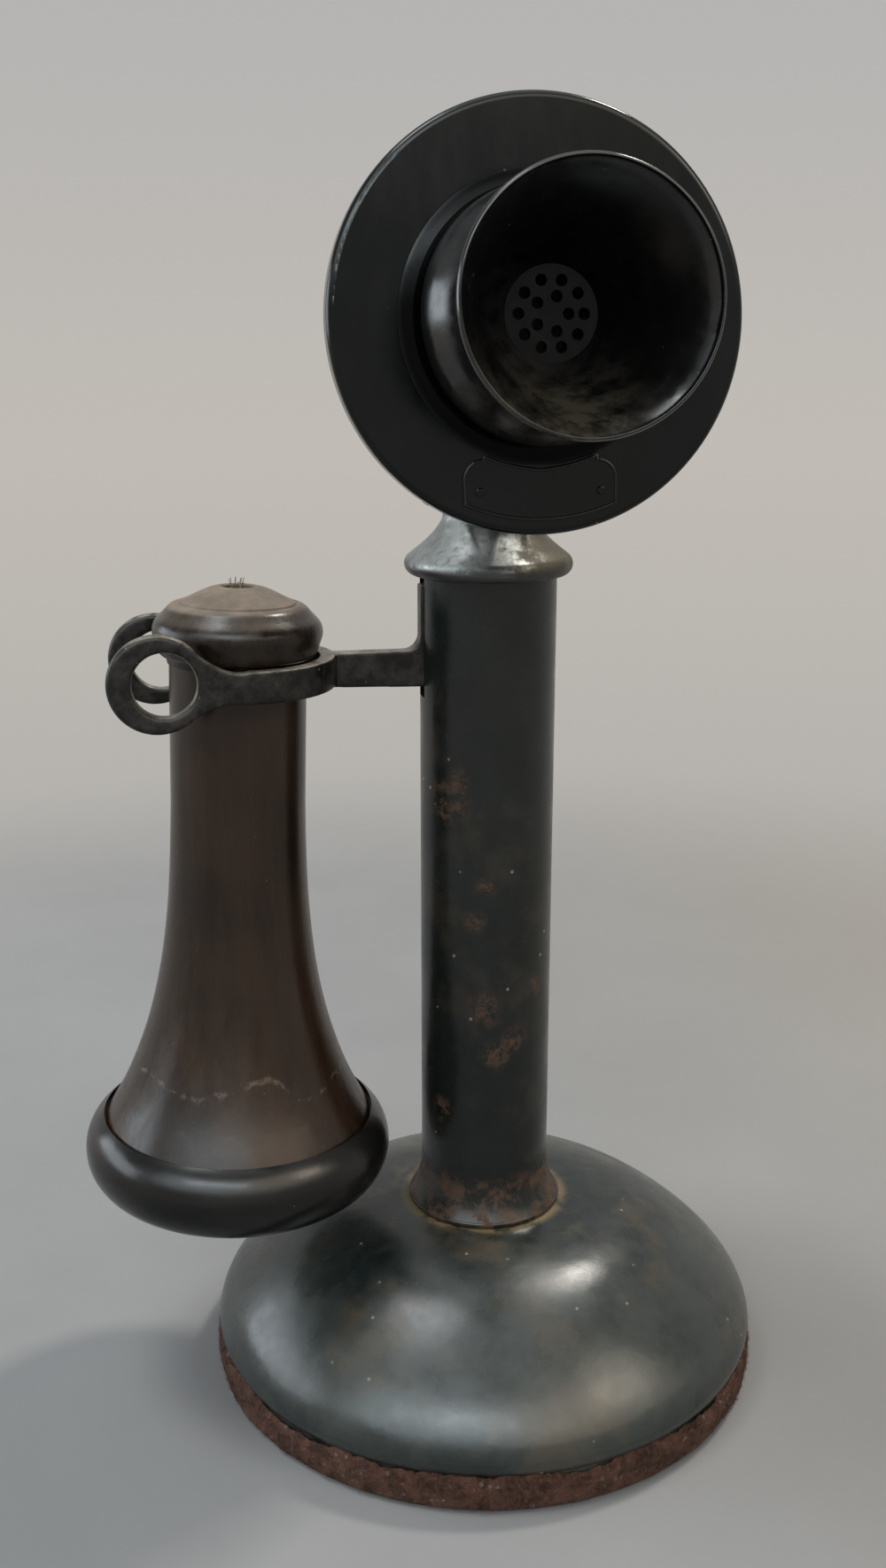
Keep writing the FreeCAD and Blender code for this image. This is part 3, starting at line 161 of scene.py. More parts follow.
class Paint(Graph):
    """The node graph of one finish, in the coordinates of the piece it is on."""

    def __init__(self, name: str) -> None:
        """Start a material with nothing but its shader.

        Args:
            name: The material's name.
        """
        self.material = bpy.data.materials.new(name)
        self.material.use_nodes = True
        super().__init__(self.material.node_tree)
        self.shader = self.node("ShaderNodeBsdfPrincipled", {})
        self.node("ShaderNodeOutputMaterial", {"Surface": self.shader.outputs[0]})
        self.coordinates = self.node("ShaderNodeTexCoord", {})
        self.place = self.coordinates.outputs["Object"]

    def noise(self, size: float, detail: float = 4.0, rough: float = 0.55, stretch: Place = (1, 1, 1)) -> Socket:
        """Cloudy noise between 0 and 1.

        Args:
            size: Size of the clouds in metres.
            detail: Number of finer layers.
            rough: Strength of the finer layers.
            stretch: How far the clouds are squeezed along each axis.

        Returns:
            The noise value.
        """
        scaled = self.node("ShaderNodeVectorMath", {0: self.place, 1: stretch}, operation="MULTIPLY")
        inputs = {"Vector": scaled.outputs[0], "Scale": 1 / size, "Detail": detail, "Roughness": rough}
        return self.node("ShaderNodeTexNoise", inputs).outputs[0]

    def patches(self, low: float, high: float, size: float, detail: float = 4.0, rough: float = 0.55,
                stretch: Place = (1, 1, 1)) -> Socket:
        """Clouds with clear places between them.

        Args:
            low: The noise up to which the place is clear.
            high: The noise from which the cloud is full.
            size: Size of the clouds in metres.
            detail: Number of finer layers.
            rough: Strength of the finer layers.
            stretch: How far the clouds are squeezed along each axis.

        Returns:
            0 in the clear places and 1 in the full clouds.
        """
        return self.between(self.noise(size, detail, rough, stretch), low, high)

    def specks(self, spacing: float, core: float, edge: float, where: Socket) -> Socket:
        """Scattered specks, where another value lets them show.

        Args:
            spacing: Their usual distance in metres.
            core: Radius of a speck's solid core, as a share of the spacing.
            edge: Radius at which it has faded away.
            where: How much they show, from 0 to 1.

        Returns:
            1 in a speck and 0 around it.
        """
        cells = self.node("ShaderNodeTexVoronoi", {"Vector": self.place, "Scale": 1 / spacing})
        return self.times(self.fading(cells.outputs["Distance"], core, edge), where)

    def axis(self, index: int) -> Socket:
        """The piece's own x, y or z in metres."""
        return self.node("ShaderNodeSeparateXYZ", {0: self.place}).outputs[index]

    def facing(self, index: int) -> Socket:
        """How far the surface faces x, y or z, in the piece's own frame."""
        return self.node("ShaderNodeSeparateXYZ", {0: self.coordinates.outputs["Normal"]}).outputs[index]

    def near(self, point: Place, radius: float, soft: float) -> Socket:
        """1 near a point of the piece, falling to 0.

        Args:
            point: The point in metres.
            radius: Where the value has fallen to a half.
            soft: Half the width of the fall.

        Returns:
            The value.
        """
        away = self.node("ShaderNodeVectorMath", {0: self.place, 1: point}, operation="DISTANCE")
        return self.fading(away.outputs["Value"], radius - soft, radius + soft)

    def from_axis(self) -> Socket:
        """Distance from the piece's own z axis."""
        flat = self.node("ShaderNodeVectorMath", {0: self.place, 1: (1, 1, 0)}, operation="MULTIPLY")
        return self.node("ShaderNodeVectorMath", {0: flat.outputs[0]}, operation="LENGTH").outputs["Value"]

    def bump(self, height: Socket, depth: float, under: Socket | None = None) -> Socket:
        """Raise the surface by a value.

        Args:
            height: The value between 0 and 1.
            depth: Its height in metres.
            under: Another bump below this one.

        Returns:
            The new normal.
        """
        inputs = {"Height": height, "Distance": depth} | ({} if under is None else {"Normal": under})
        return self.node("ShaderNodeBump", inputs).outputs[0]

    def sealed(self, values: dict[str, object]) -> bpy.types.Material:
        """Fill the shader and hand the material over.

        Args:
            values: What goes into the shader's sockets, by their names.

        Returns:
            The finished material.
        """
        for name, value in values.items():
            self.fill(self.shader.inputs[name], value)
        return self.material


@dataclass(frozen=True)
class Mark:
    """A small place on a piece, in millimetres, such as a worn, rusted or dusty place, a speck, or a ring of
    painted shade.
    """

    x: float
    y: float
    z: float
    radius: float

    def show(self, paint: Paint, soft: float = 0.6) -> Socket:
        """The mark as a value that is 1 at its middle."""
        return paint.near((self.x * MM, self.y * MM, self.z * MM), self.radius * MM, self.radius * soft * MM)


# Finishes

PATINA = (0.095, 0.073, 0.048)
RUST_DARK = (0.030, 0.015, 0.009)
RUST_PALE = (0.15, 0.085, 0.052)
GRIME = (0.23, 0.17, 0.085)
DUST = (0.22, 0.18, 0.11)
CHIP = (0.34, 0.32, 0.26)
PALE_SPECK = (0.42, 0.38, 0.30)
# Black of painted shade.
UNLIT_BLACK = (0.0012, 0.0014, 0.0013)
GRILLE_BLACK = (0.006, 0.006, 0.006)
BELL_SPECK = (0.3, 0.26, 0.2)
RUBBER_SPECK = (0.3, 0.24, 0.17)
SCUFF = (0.27, 0.21, 0.15)
CAP_BROWN = (0.033, 0.021, 0.013)
CAP_PALE = (0.27, 0.215, 0.165)
JAPAN_GREY = (0.045, 0.041, 0.036)
WOOL_TUFT = (0.46, 0.28, 0.20)
LINT = (0.52, 0.47, 0.40)


@dataclass(frozen=True)
class AgedEnamel:
    """Old black enamel gone greenish grey and satin, with specks, haze and rust."""

    name: str
    deep: Colour
    haze: Colour
    gloss: tuple[float, float]
    marks: tuple[Mark, ...] = ()
    grime_radius: float = 0.0
    rust_band: tuple[float, float] = (0.0, 0.0)
    waviness: float = 0.00006
    shine: float = 0.5
    patina: float = 0.25

    def with_rust(self, paint: Paint, fine: Socket, colour: Socket, rough: Socket) -> tuple[Socket, Socket]:
        """Lay rust over the enamel, in its marks and below the top of its band.

        Args:
            paint: The finish's graph.
            fine: Fine noise that mottles the rust.
            colour: The enamel's colour.
            rough: The enamel's roughness.

        Returns:
            Colour and roughness with the rust.
        """
        cloud = paint.patches(0.42, 0.6, 0.0026, 8.0, 0.8)
        rust = [paint.times(mark.show(paint), cloud) for mark in self.marks]
        low, high = self.rust_band
        if high > low:
            band = paint.fading(paint.axis(2), high - 0.005, high)
            rust.append(paint.times(band, paint.patches(0.42, 0.62, 0.006, 6.0, 0.7)))
        if not rust:
            return colour, rough
        rusted = paint.highest(*rust)
        colour = paint.colour(rusted, colour, paint.colour(fine, RUST_DARK, RUST_PALE))
        return colour, paint.highest(rough, paint.times(rusted, 0.75))

    def with_grime(self, paint: Paint, colour: Socket, rough: Socket) -> tuple[Socket, Socket]:
        """Lay brown grime and dust round what stands on the piece's axis.

        Args:
            paint: The finish's graph.
            colour: The enamel's colour.
            rough: The enamel's roughness.

        Returns:
            Colour and roughness with the grime.
        """
        if not self.grime_radius:
            return colour, rough
        distance = paint.maths("SUBTRACT", paint.from_axis(), self.grime_radius)
        grime = paint.times(paint.fading(distance, 0.0002, 0.0032), paint.patches(0.3, 0.6, 0.006, 5.0))
        colour = paint.colour(grime, colour, GRIME)
        dust = paint.times(paint.fading(distance, 0.0, 0.028, 0.35), paint.patches(0.5, 0.75, 0.009, 6.0, 0.7))
        return paint.colour(dust, colour, DUST), paint.highest(rough, paint.times(grime, 0.8))

    def material(self) -> bpy.types.Material:
        """Build the finish.

        Returns:
            The material.
        """
        paint = Paint(self.name)
        fine = paint.noise(0.0035, 6.0, 0.65)
        colour = paint.colour(paint.patches(0.35, 0.7, 0.028, 5.0), self.deep, self.haze)
        colour = paint.colour(paint.times(paint.between(fine, 0.35, 0.75), 0.35), colour, self.haze)
        brown = paint.times(paint.patches(0.5, 0.68, 0.021, 7.0, 0.66), self.patina)
        colour = paint.colour(brown, colour, PATINA)
        rough = paint.between(paint.noise(0.012, 5.0, 0.6), 0.3, 0.7, *self.gloss)
        colour, rough = self.with_rust(paint, fine, colour, rough)
        colour, rough = self.with_grime(paint, colour, rough)
        chips = paint.specks(0.0052, 0.06, 0.1, paint.patches(0.55, 0.6, 0.02, 2.0))
        colour = paint.colour(paint.times(chips, 0.8), colour, CHIP)
        wave = paint.bump(paint.noise(0.016, 2.0, 0.4), self.waviness)
        return paint.sealed({"Base Color": colour, "Roughness": rough, "Specular IOR Level": self.shine,
                             "Normal": paint.bump(fine, 0.00003, wave)})


@dataclass(frozen=True)
class GlossBlack:
    """Polished black, with faint wipe marks, single pale specks and, round a given mark, painted shade with less
    shine.
    """

    name: str
    black: Colour
    dust: Colour
    gloss: tuple[float, float]
    dusting: float = 0.25
    marks: tuple[Mark, ...] = ()
    # Mark round which the black is darkened as painted shade, and its shine lowered.
    dull: Mark | None = None
    shine: float = 0.4

    def material(self) -> bpy.types.Material:
        """Build the finish.

        Returns:
            The material.
        """
        paint = Paint(self.name)
        dusty = paint.times(paint.patches(0.42, 0.75, 0.015, 6.0, 0.6), self.dusting)
        colour = paint.colour(dusty, self.black, self.dust)
        specks = paint.specks(0.0045, 0.045, 0.075, paint.patches(0.57, 0.6, 0.013, 2.0))
        specks = paint.highest(specks, *(mark.show(paint, 0.35) for mark in self.marks))
        colour = paint.colour(paint.times(specks, 0.7), colour, PALE_SPECK)
        shine = self.shine
        # Painted shade: round the mark the colour goes to unlit black, and the shine drops.
        if self.dull is not None:
            dull = self.dull.show(paint, 0.04)
            colour = paint.colour(dull, colour, UNLIT_BLACK)
            shine = paint.between(dull, 0.0, 1.0, self.shine, 0.08)
        wipes = paint.noise(0.006, 5.0, 0.6, (1.0, 0.35, 0.35))
        return paint.sealed({"Base Color": colour, "Roughness": paint.between(wipes, 0.3, 0.75, *self.gloss),
                             "Specular IOR Level": shine, "Normal": paint.bump(paint.noise(0.009, 3.0), 0.00002)})


@dataclass(frozen=True)
class BellRubber:
    """Moulded black bell, polished outside and dusty brown in the lower throat."""

    name: str
    black: Colour
    dirt: Colour

    def material(self) -> bpy.types.Material:
        """Build the finish. The piece's z axis is the bell's own.

        Returns:
            The material.
        """
        paint = Paint(self.name)
        cloud = paint.noise(0.007, 7.0, 0.68)
        low = paint.fading(paint.axis(1), -0.024, -0.002)
        throat = paint.between(paint.from_axis(), 0.009, 0.0235, 1.0, 0.55)
        inside = paint.between(paint.facing(2), 0.0, 0.35)
        depth = paint.between(paint.axis(2), 0.0095, 0.02, 0.4, 1.0)
        left = paint.between(paint.axis(0), 0.005, 0.015, 1.0, 0.12)
        worn = paint.times(low, inside, throat, depth, left, paint.between(cloud, 0.34, 0.62))
        colour = paint.colour(worn, self.black, self.dirt)
        grille = paint.fading(paint.axis(2), 0.0088, 0.0098)
        colour = paint.colour(paint.times(grille, 0.8), colour, GRILLE_BLACK)
        specks = paint.specks(0.003, 0.05, 0.09, paint.between(cloud, 0.55, 0.6))
        colour = paint.colour(paint.times(specks, 0.35), colour, BELL_SPECK)
        fine = paint.between(paint.noise(0.0045, 6.0), 0.3, 0.75, 0.16, 0.32)
        return paint.sealed({"Base Color": colour, "Roughness": paint.highest(fine, paint.times(worn, 0.7)),
                             "Specular IOR Level": paint.between(grille, 0.0, 1.0, 0.6, 0.16),
                             "Normal": paint.bump(cloud, 0.00002)})


@dataclass(frozen=True)
class AgedRubber:
    """Hard rubber aged to brown, with streaks along its length and a pale scuff line."""

    name: str
    dark: Colour
    brown: Colour
    gloss: tuple[float, float]
    scuff_height: float = 0.0
    scuff_width: float = 0.004
    streaks: Place = (1.0, 1.0, 0.12)

    def with_scuff(self, paint: Paint, colour: Socket, rough: Socket) -> tuple[Socket, Socket]:
        """Lay the broken scuff line round the piece.

        Args:
            paint: The finish's graph.
            colour: The rubber's colour.
            rough: The rubber's roughness.

        Returns:
            Colour and roughness with the line.
        """
        if not self.scuff_height:
            return colour, rough
        wander = paint.between(paint.noise(0.02, 3.0), 0.3, 0.7, -self.scuff_width, self.scuff_width)
        level = paint.maths("SUBTRACT", paint.axis(2), paint.maths("ADD", wander, self.scuff_height))
        line = paint.fading(paint.maths("ABSOLUTE", level), 0.0002, 0.0010)
        scuff = paint.times(line, paint.patches(0.46, 0.6, 0.003, 7.0, 0.75), 0.4)
        return paint.colour(scuff, colour, SCUFF), paint.highest(rough, scuff)

    def material(self) -> bpy.types.Material:
        """Build the finish. The piece's z axis is its turning axis.

        Returns:
            The material.
        """
        paint = Paint(self.name)
        streak = paint.patches(0.3, 0.7, 0.006, 6.0, 0.6, self.streaks)
        cloud = paint.patches(0.35, 0.68, 0.03, 4.0)
        fine = paint.noise(0.0016, 6.0, 0.7)
        colour = paint.colour(paint.times(paint.maths("ADD", streak, cloud), 0.5), self.dark, self.brown)
        rough = paint.between(paint.noise(0.004, 5.0, 0.6, self.streaks), 0.3, 0.7, *self.gloss)
        colour, rough = self.with_scuff(paint, colour, rough)
        specks = paint.specks(0.004, 0.04, 0.07, paint.between(fine, 0.5, 0.6))
        colour = paint.colour(paint.times(specks, 0.35), colour, RUBBER_SPECK)
        return paint.sealed({"Base Color": colour, "Roughness": rough, "Specular IOR Level": 0.38,
                             "Normal": paint.bump(fine, 0.00002, paint.bump(cloud, 0.00005))})


@dataclass(frozen=True)
class ReceiverCapRubber:
    """Polished dark rubber below a dull brown dome."""

    name: str
    dark: Colour
    dome: Colour
    ledge_height: float

    def material(self) -> bpy.types.Material:
        """Build the finish. The dome is what lies above the ledge, or faces up.

        Returns:
            The material.
        """
        paint = Paint(self.name)
        cloud = paint.patches(0.3, 0.72, 0.005, 6.0, 0.6)
        above = paint.between(paint.axis(2), self.ledge_height - 0.0012, self.ledge_height)
        dusty = paint.highest(above, paint.times(paint.between(paint.facing(2), 0.5, 0.93), 0.55))
        colour = paint.colour(cloud, self.dark, CAP_BROWN)
        colour = paint.colour(dusty, colour, paint.colour(cloud, self.dome, CAP_PALE))
        gloss = paint.between(cloud, 0.0, 1.0, 0.24, 0.38)
        return paint.sealed({"Base Color": colour, "Roughness": paint.highest(gloss, paint.times(dusty, 0.62)),
                             "Specular IOR Level": 0.32, "Normal": paint.bump(cloud, 0.00003)})


@dataclass(frozen=True)
class WornNickel:
    """Nickel rubbed through to brown: a silver left side painted as the lit side, a stained right side, painted
    shade below and a painted dark reflection on the bead.
    """

    name: str
    painted_lit_silver: Colour
    stained: Colour
    dark: Colour
    bead_top: float = 0.2068

    def material(self) -> bpy.types.Material:
        """Build the finish.

        Returns:
            The material.
        """
        paint = Paint(self.name)
        cloud = paint.patches(0.32, 0.7, 0.005, 7.0, 0.68)
        # Painted light: the left side is painted as the lit silver side, and the right side is brown stain.
        shift = paint.times(paint.maths("SUBTRACT", cloud, 0.5), 0.7)
        side = paint.maths("ADD", paint.between(paint.axis(0), -0.004, 0.01), shift)
        side = paint.between(side, 0.1, 0.9)
        colour = paint.colour(side, self.painted_lit_silver, self.stained)
        pits = paint.patches(0.5, 0.66, 0.0022, 7.0, 0.75)
        colour = paint.colour(paint.times(pits, 0.4), colour, self.dark)
        # Painted shade: faces that turn downwards are darkened.
        under = paint.fading(paint.facing(2), -0.35, 0.25, 0.85)
        # Painted dark reflection: the bead is darkened in patches, where it reflects dark.
        bead = paint.fading(paint.axis(2), self.bead_top - 0.0018, self.bead_top, 0.8)
        bead = paint.times(bead, paint.patches(0.38, 0.56, 0.009, 6.0, 0.7))
        colour = paint.colour(paint.highest(under, bead), colour, self.dark)
        dull = paint.maths("ADD", paint.times(pits, 0.3), paint.times(side, 0.55))
        wave = paint.bump(paint.noise(0.006, 3.0), 0.0001)
        return paint.sealed({"Base Color": colour, "Metallic": paint.maths("SUBTRACT", 0.85, dull),
                             "Roughness": paint.between(cloud, 0.2, 0.9, 0.4, 0.6),
                             "Normal": paint.bump(pits, 0.000015, wave)})


@dataclass(frozen=True)
class HookCasting:
    """Cast metal under worn black japan, rubbed to a dull yellow grey on its upper faces."""

    name: str
    black: Colour
    bare: Colour
    ring_holes: tuple[Mark, ...] = (Mark(-75.8, -19.0, 182.5, 8.4), Mark(-75.8, 19.0, 181.1, 8.4))

    def material(self) -> bpy.types.Material:
        """Build the finish.

        Returns:
            The material.
        """
        paint = Paint(self.name)
        cloud = paint.noise(0.004, 7.0, 0.7)
        rubbed = paint.times(paint.between(paint.facing(2), 0.55, 0.95), paint.between(cloud, 0.3, 0.55))
        across = paint.fading(paint.maths("ABSOLUTE", paint.facing(1)), 0.35, 0.75)
        inside = paint.highest(*(hole.show(paint, 0.12) for hole in self.ring_holes))
        dusty = paint.times(inside, across, 0.6)
        chips = paint.patches(0.66, 0.7, 0.0016, 5.0, 0.7)
        colour = paint.colour(paint.between(cloud, 0.35, 0.7), self.black, JAPAN_GREY)
        colour = paint.colour(paint.times(paint.highest(rubbed, chips, dusty), 0.85), colour, self.bare)
        grain = paint.bump(paint.noise(0.0012, 4.0), 0.00004, paint.bump(cloud, 0.0001))
        return paint.sealed({"Base Color": colour, "Metallic": 0.25, "Specular IOR Level": 0.35,
                             "Roughness": paint.between(cloud, 0.3, 0.7, 0.3, 0.5), "Normal": grain})


@dataclass(frozen=True)
class Felt:
    """Matted wool with pale lint and darker soaked places."""

    name: str
    dark: Colour
    light: Colour

    def material(self) -> bpy.types.Material:
        """Build the finish.

        Returns:
            The material.
        """
        paint = Paint(self.name)
        cloud = paint.patches(0.36, 0.66, 0.0045, 7.0, 0.72)
        tuft = paint.patches(0.4, 0.62, 0.0012, 8.0, 0.8)
        colour = paint.colour(cloud, self.dark, self.light)
        colour = paint.colour(paint.times(tuft, 0.5), colour, WOOL_TUFT)
        lint = paint.specks(0.0028, 0.12, 0.24, paint.patches(0.48, 0.55, 0.008, 3.0))
        colour = paint.colour(paint.times(lint, 0.85), colour, LINT)
        return paint.sealed({"Base Color": colour, "Roughness": paint.between(tuft, 0.0, 1.0, 0.85, 0.98),
                             "Specular IOR Level": 0.2, "Sheen Weight": 0.08,
                             "Normal": paint.bump(tuft, 0.0007, paint.bump(cloud, 0.0008))})


@dataclass(frozen=True)
class PlainMetal:
    """Bare metal inside the stand and the two instruments, lightly tarnished."""

    name: str
    bright: Colour
    tarnish: Colour
    gloss: tuple[float, float] = (0.25, 0.45)

    def material(self) -> bpy.types.Material:
        """Build the finish.

        Returns:
            The material.
        """
        paint = Paint(self.name)
        cloud = paint.patches(0.35, 0.75, 0.004, 6.0, 0.65)
        return paint.sealed({"Base Color": paint.colour(cloud, self.bright, self.tarnish), "Metallic": 1.0,
                             "Roughness": paint.between(paint.noise(0.0015, 4.0), 0.3, 0.7, *self.gloss),
                             "Normal": paint.bump(paint.noise(0.0012, 3.0), 0.00001)})


@dataclass(frozen=True)
class PlainMatt:
    """Fibre, soft rubber, cotton or silk."""

    name: str
    dark: Colour
    light: Colour
    grain: float = 0.0012
    depth: float = 0.00004

    def material(self) -> bpy.types.Material:
        """Build the finish.

        Returns:
            The material.
        """
        paint = Paint(self.name)
        grain = paint.patches(0.3, 0.7, self.grain, 5.0, 0.6)
        return paint.sealed({"Base Color": paint.colour(grain, self.dark, self.light),
                             "Roughness": paint.between(grain, 0.0, 1.0, 0.55, 0.8),
                             "Normal": paint.bump(grain, self.depth)})


RUST_PATCHES = (Mark(-11.8, -10.8, 150.3, 5.0), Mark(-9.5, -12.8, 156.0, 2.6), Mark(-3.1, -15.7, 130.6, 2.4),
                Mark(9.9, -12.6, 103.7, 2.4), Mark(-3.9, -15.5, 99.1, 4.0), Mark(-0.7, -16.0, 87.4, 3.4),
                Mark(4.0, -15.5, 91.0, 3.0), Mark(-12.6, -9.8, 71.3, 3.0), Mark(-6.0, -14.8, 122.0, 2.6))
PLATE_SPECKS = (Mark(-6.25, -45.0, 290.1, 0.42), Mark(0.9, -45.0, 292.2, 0.4),
                Mark(-34.7, -45.2, 252.0, 0.35), Mark(-34.0, -45.2, 243.4, 0.35))
# The faceplate round the bell's foot, which its finish darkens as painted shade.
PLATE_SEAT_SHADE = Mark(0.0, -45.7, 258.5, 28.2)

FINISHES = (
    AgedEnamel("base_enamel", (0.0125, 0.0195, 0.018), (0.045, 0.053, 0.047), (0.22, 0.34),
               grime_radius=0.0192, waviness=0.0002, shine=0.62, patina=0.6),
    AgedEnamel("stem_enamel", (0.0050, 0.0092, 0.0080), (0.015, 0.018, 0.016), (0.2, 0.34),
               marks=RUST_PATCHES, rust_band=(0.0417, 0.056), shine=0.4),
    GlossBlack("plate_enamel", (0.0027, 0.0050, 0.0043), (0.011, 0.013, 0.012), (0.13, 0.24),
               marks=PLATE_SPECKS, dull=PLATE_SEAT_SHADE, shine=0.28),
    GlossBlack("cup_enamel", (0.006, 0.008, 0.008), (0.02, 0.021, 0.019), (0.2, 0.34)),
    HookCasting("hook_metal", (0.0065, 0.0066, 0.006), (0.33, 0.29, 0.225)),
    WornNickel("worn_nickel", (0.33, 0.345, 0.335), (0.105, 0.088, 0.056), (0.045, 0.046, 0.044)),
    Felt("felt", (0.075, 0.026, 0.017), (0.40, 0.185, 0.12)),
    BellRubber("bell_rubber", (0.0035, 0.0036, 0.0036), (0.085, 0.072, 0.05)),
    AgedRubber("shell_rubber", (0.0088, 0.0046, 0.0022), (0.042, 0.0215, 0.0108), (0.22, 0.34),
               scuff_height=0.0855),
    AgedRubber("ear_rubber", (0.0045, 0.0045, 0.0043), (0.013, 0.0115, 0.010), (0.17, 0.28),
               streaks=(0.3, 0.3, 1.0)),
    PlainMatt("insulator", (0.03, 0.022, 0.018), (0.07, 0.055, 0.045)),
    PlainMetal("steel", (0.50, 0.49, 0.47), (0.20, 0.18, 0.15)),
    PlainMetal("iron", (0.22, 0.21, 0.20), (0.09, 0.07, 0.055), (0.4, 0.6)),
    PlainMetal("brass", (0.55, 0.40, 0.17), (0.22, 0.15, 0.07)),
    PlainMetal("aluminium", (0.62, 0.62, 0.62), (0.38, 0.38, 0.37)),
    PlainMatt("soft_rubber", (0.018, 0.018, 0.018), (0.04, 0.04, 0.04)),
    PlainMatt("cotton", (0.15, 0.115, 0.06), (0.42, 0.36, 0.24), 0.0006, 0.0001),
    PlainMatt("coil_silk", (0.10, 0.13, 0.06), (0.2, 0.24, 0.12), 0.0004, 0.0001),
)


# Meshes


def revolved(name: str, profile: Profile, steps: int = 256, sharp_deg: float = 35.0) -> bpy.types.Object:
    """Sweep a profile about z, with smooth shading between its corners.

    Args:
        name: The piece's name.
        profile: (radius, height) pairs in metres, from one end of the surface to the other.
        steps: Number of facets round the axis.
        sharp_deg: Angle from which an edge stays sharp.

    Returns:
        The new object.
    """
    mesh = bmesh.new()
    rings: list[list[bmesh.types.BMVert]] = []
    for radius, height in profile:
        if radius < 1e-6:
            rings.append([mesh.verts.new((0, 0, height))])
            continue
        turns = [FULL_TURN * step / steps for step in range(steps)]
        rings.append([mesh.verts.new((radius * math.cos(a), radius * math.sin(a), height)) for a in turns])
    for low, high in zip(rings, rings[1:]):
        for step in range(steps):
            after = (step + 1) % steps
            around = ((low, step), (low, after), (high, after), (high, step))
            unique = list(dict.fromkeys(ring[place % len(ring)] for ring, place in around))
            if len(unique) > 2:
                mesh.faces.new(unique)
    bmesh.ops.recalc_face_normals(mesh, faces=mesh.faces)
    return finished(name, mesh, sharp_deg)


def finished(name: str, mesh: bmesh.types.BMesh, sharp_deg: float = 35.0) -> bpy.types.Object:
    """Turn a bmesh into an object in the scene.

    Args:
        name: The object's name.
        mesh: The mesh, which is freed.
        sharp_deg: Angle from which an edge stays sharp.

    Returns:
        The new object.
    """
    data = bpy.data.meshes.new(name)
    mesh.to_mesh(data)
    mesh.free()
    data.shade_smooth()
    data.set_sharp_from_angle(angle=math.radians(sharp_deg))
    return shown(name, data)


def shown(name: str, data: bpy.types.ID) -> bpy.types.Object:
    """Put a mesh, curve, lamp or camera into the scene.

    Args:
        name: The object's name.
        data: What the object shows.

    Returns:
        The new object.
    """
    made = bpy.data.objects.new(name, data)
    bpy.context.scene.collection.objects.link(made)
    return made


def evaluated_mesh(piece: bpy.types.Object) -> bpy.types.Mesh:
    """The mesh of a piece with its modifiers or its bevel applied.

    Args:
        piece: A mesh or curve object.

    Returns:
        A new mesh.
    """
    bpy.context.view_layer.update()
    return bpy.data.meshes.new_from_object(piece.evaluated_get(bpy.context.evaluated_depsgraph_get()))


def settle(piece: bpy.types.Object) -> None:
    """Apply a piece's modifiers to its mesh.

    Args:
        piece: The piece, which keeps no modifier.
    """
    data = evaluated_mesh(piece)
    piece.modifiers.clear()
    piece.data = data


def copied(node: str, name: str, own_frame: Matrix | None = None) -> bpy.types.Object:
    """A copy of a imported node, to be worked on.

    Args:
        node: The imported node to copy.
        name: The new piece's name.
        own_frame: Where the copy's own origin and axes lie, if not at the telephone's.

    Returns:
        The new object, where the node is.
    """
    piece = shown(name, frame["nodes"][node].data.copy())
    if own_frame is not None:
        piece.data.transform(own_frame.inverted())
        piece.matrix_world = own_frame
    return piece


def add_wear(piece: bpy.types.Object, rounds: int) -> bpy.types.Modifier:
    """Even out a piece's points once its modifiers are applied.

    Args:
        piece: The piece.
        rounds: How often the points are evened out.

    Returns:
        The modifier.
    """
    wear = piece.modifiers.new("wear", "SMOOTH")
    wear.factor = 0.5
    wear.iterations = rounds
    return wear


def smoothed_where(piece: bpy.types.Object, rounds: int, share: Callable[[Vector], float]) -> None:
    """Even out some of a piece's points more than the rest.

    Args:
        piece: The piece.
        rounds: How often the points are evened out.
        share: How strongly a point takes part, from 0 to 1.
    """
    group = piece.vertex_groups.new(name="worn")
    for vertex in piece.data.vertices:
        weight = share(vertex.co)
        if weight > 0.01:
            group.add([vertex.index], weight, "REPLACE")
    add_wear(piece, rounds).vertex_group = group.name
    settle(piece)
    piece.vertex_groups.clear()


def softened(node: str, name: str, voxel: float, rounds: int) -> bpy.types.Object:
    """A rounded copy of a cast node, with its edges worn soft.

    Args:
        node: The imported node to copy.
        name: The new piece's name.
        voxel: Size of the new mesh's faces in metres.
        rounds: How often its points are evened out.

    Returns:
        The new object.
    """
    piece = copied(node, name)
    remesh = piece.modifiers.new("grain", "REMESH")
    remesh.mode = "VOXEL"
    remesh.voxel_size = voxel
    remesh.use_smooth_shade = True
    add_wear(piece, rounds)
    settle(piece)
    piece.data.shade_smooth()
    return piece


def dress(piece: bpy.types.Object, finish: bpy.types.Material) -> None:
    """Give a piece one finish."""
    piece.data.materials.clear()
    piece.data.materials.append(finish)


def share_of(value: float, start: float, end: float) -> float:
    """How far a value has come from start to end, kept between 0 and 1."""
    return min(1.0, max(0.0, (value - start) / (end - start)))


def read_off(points: Profile, height: float) -> float:
    """Read a value off a line through (value, height) pairs.

    Args:
        points: The pairs, from low to high.
        height: Where to read.

    Returns:
        The value, which stays level past the ends of the line.
    """
    for (low_value, low), (high_value, high) in zip(points, points[1:]):
        if height <= high:
            return low_value + share_of(height, low, high) * (high_value - low_value)
    return points[-1][0]


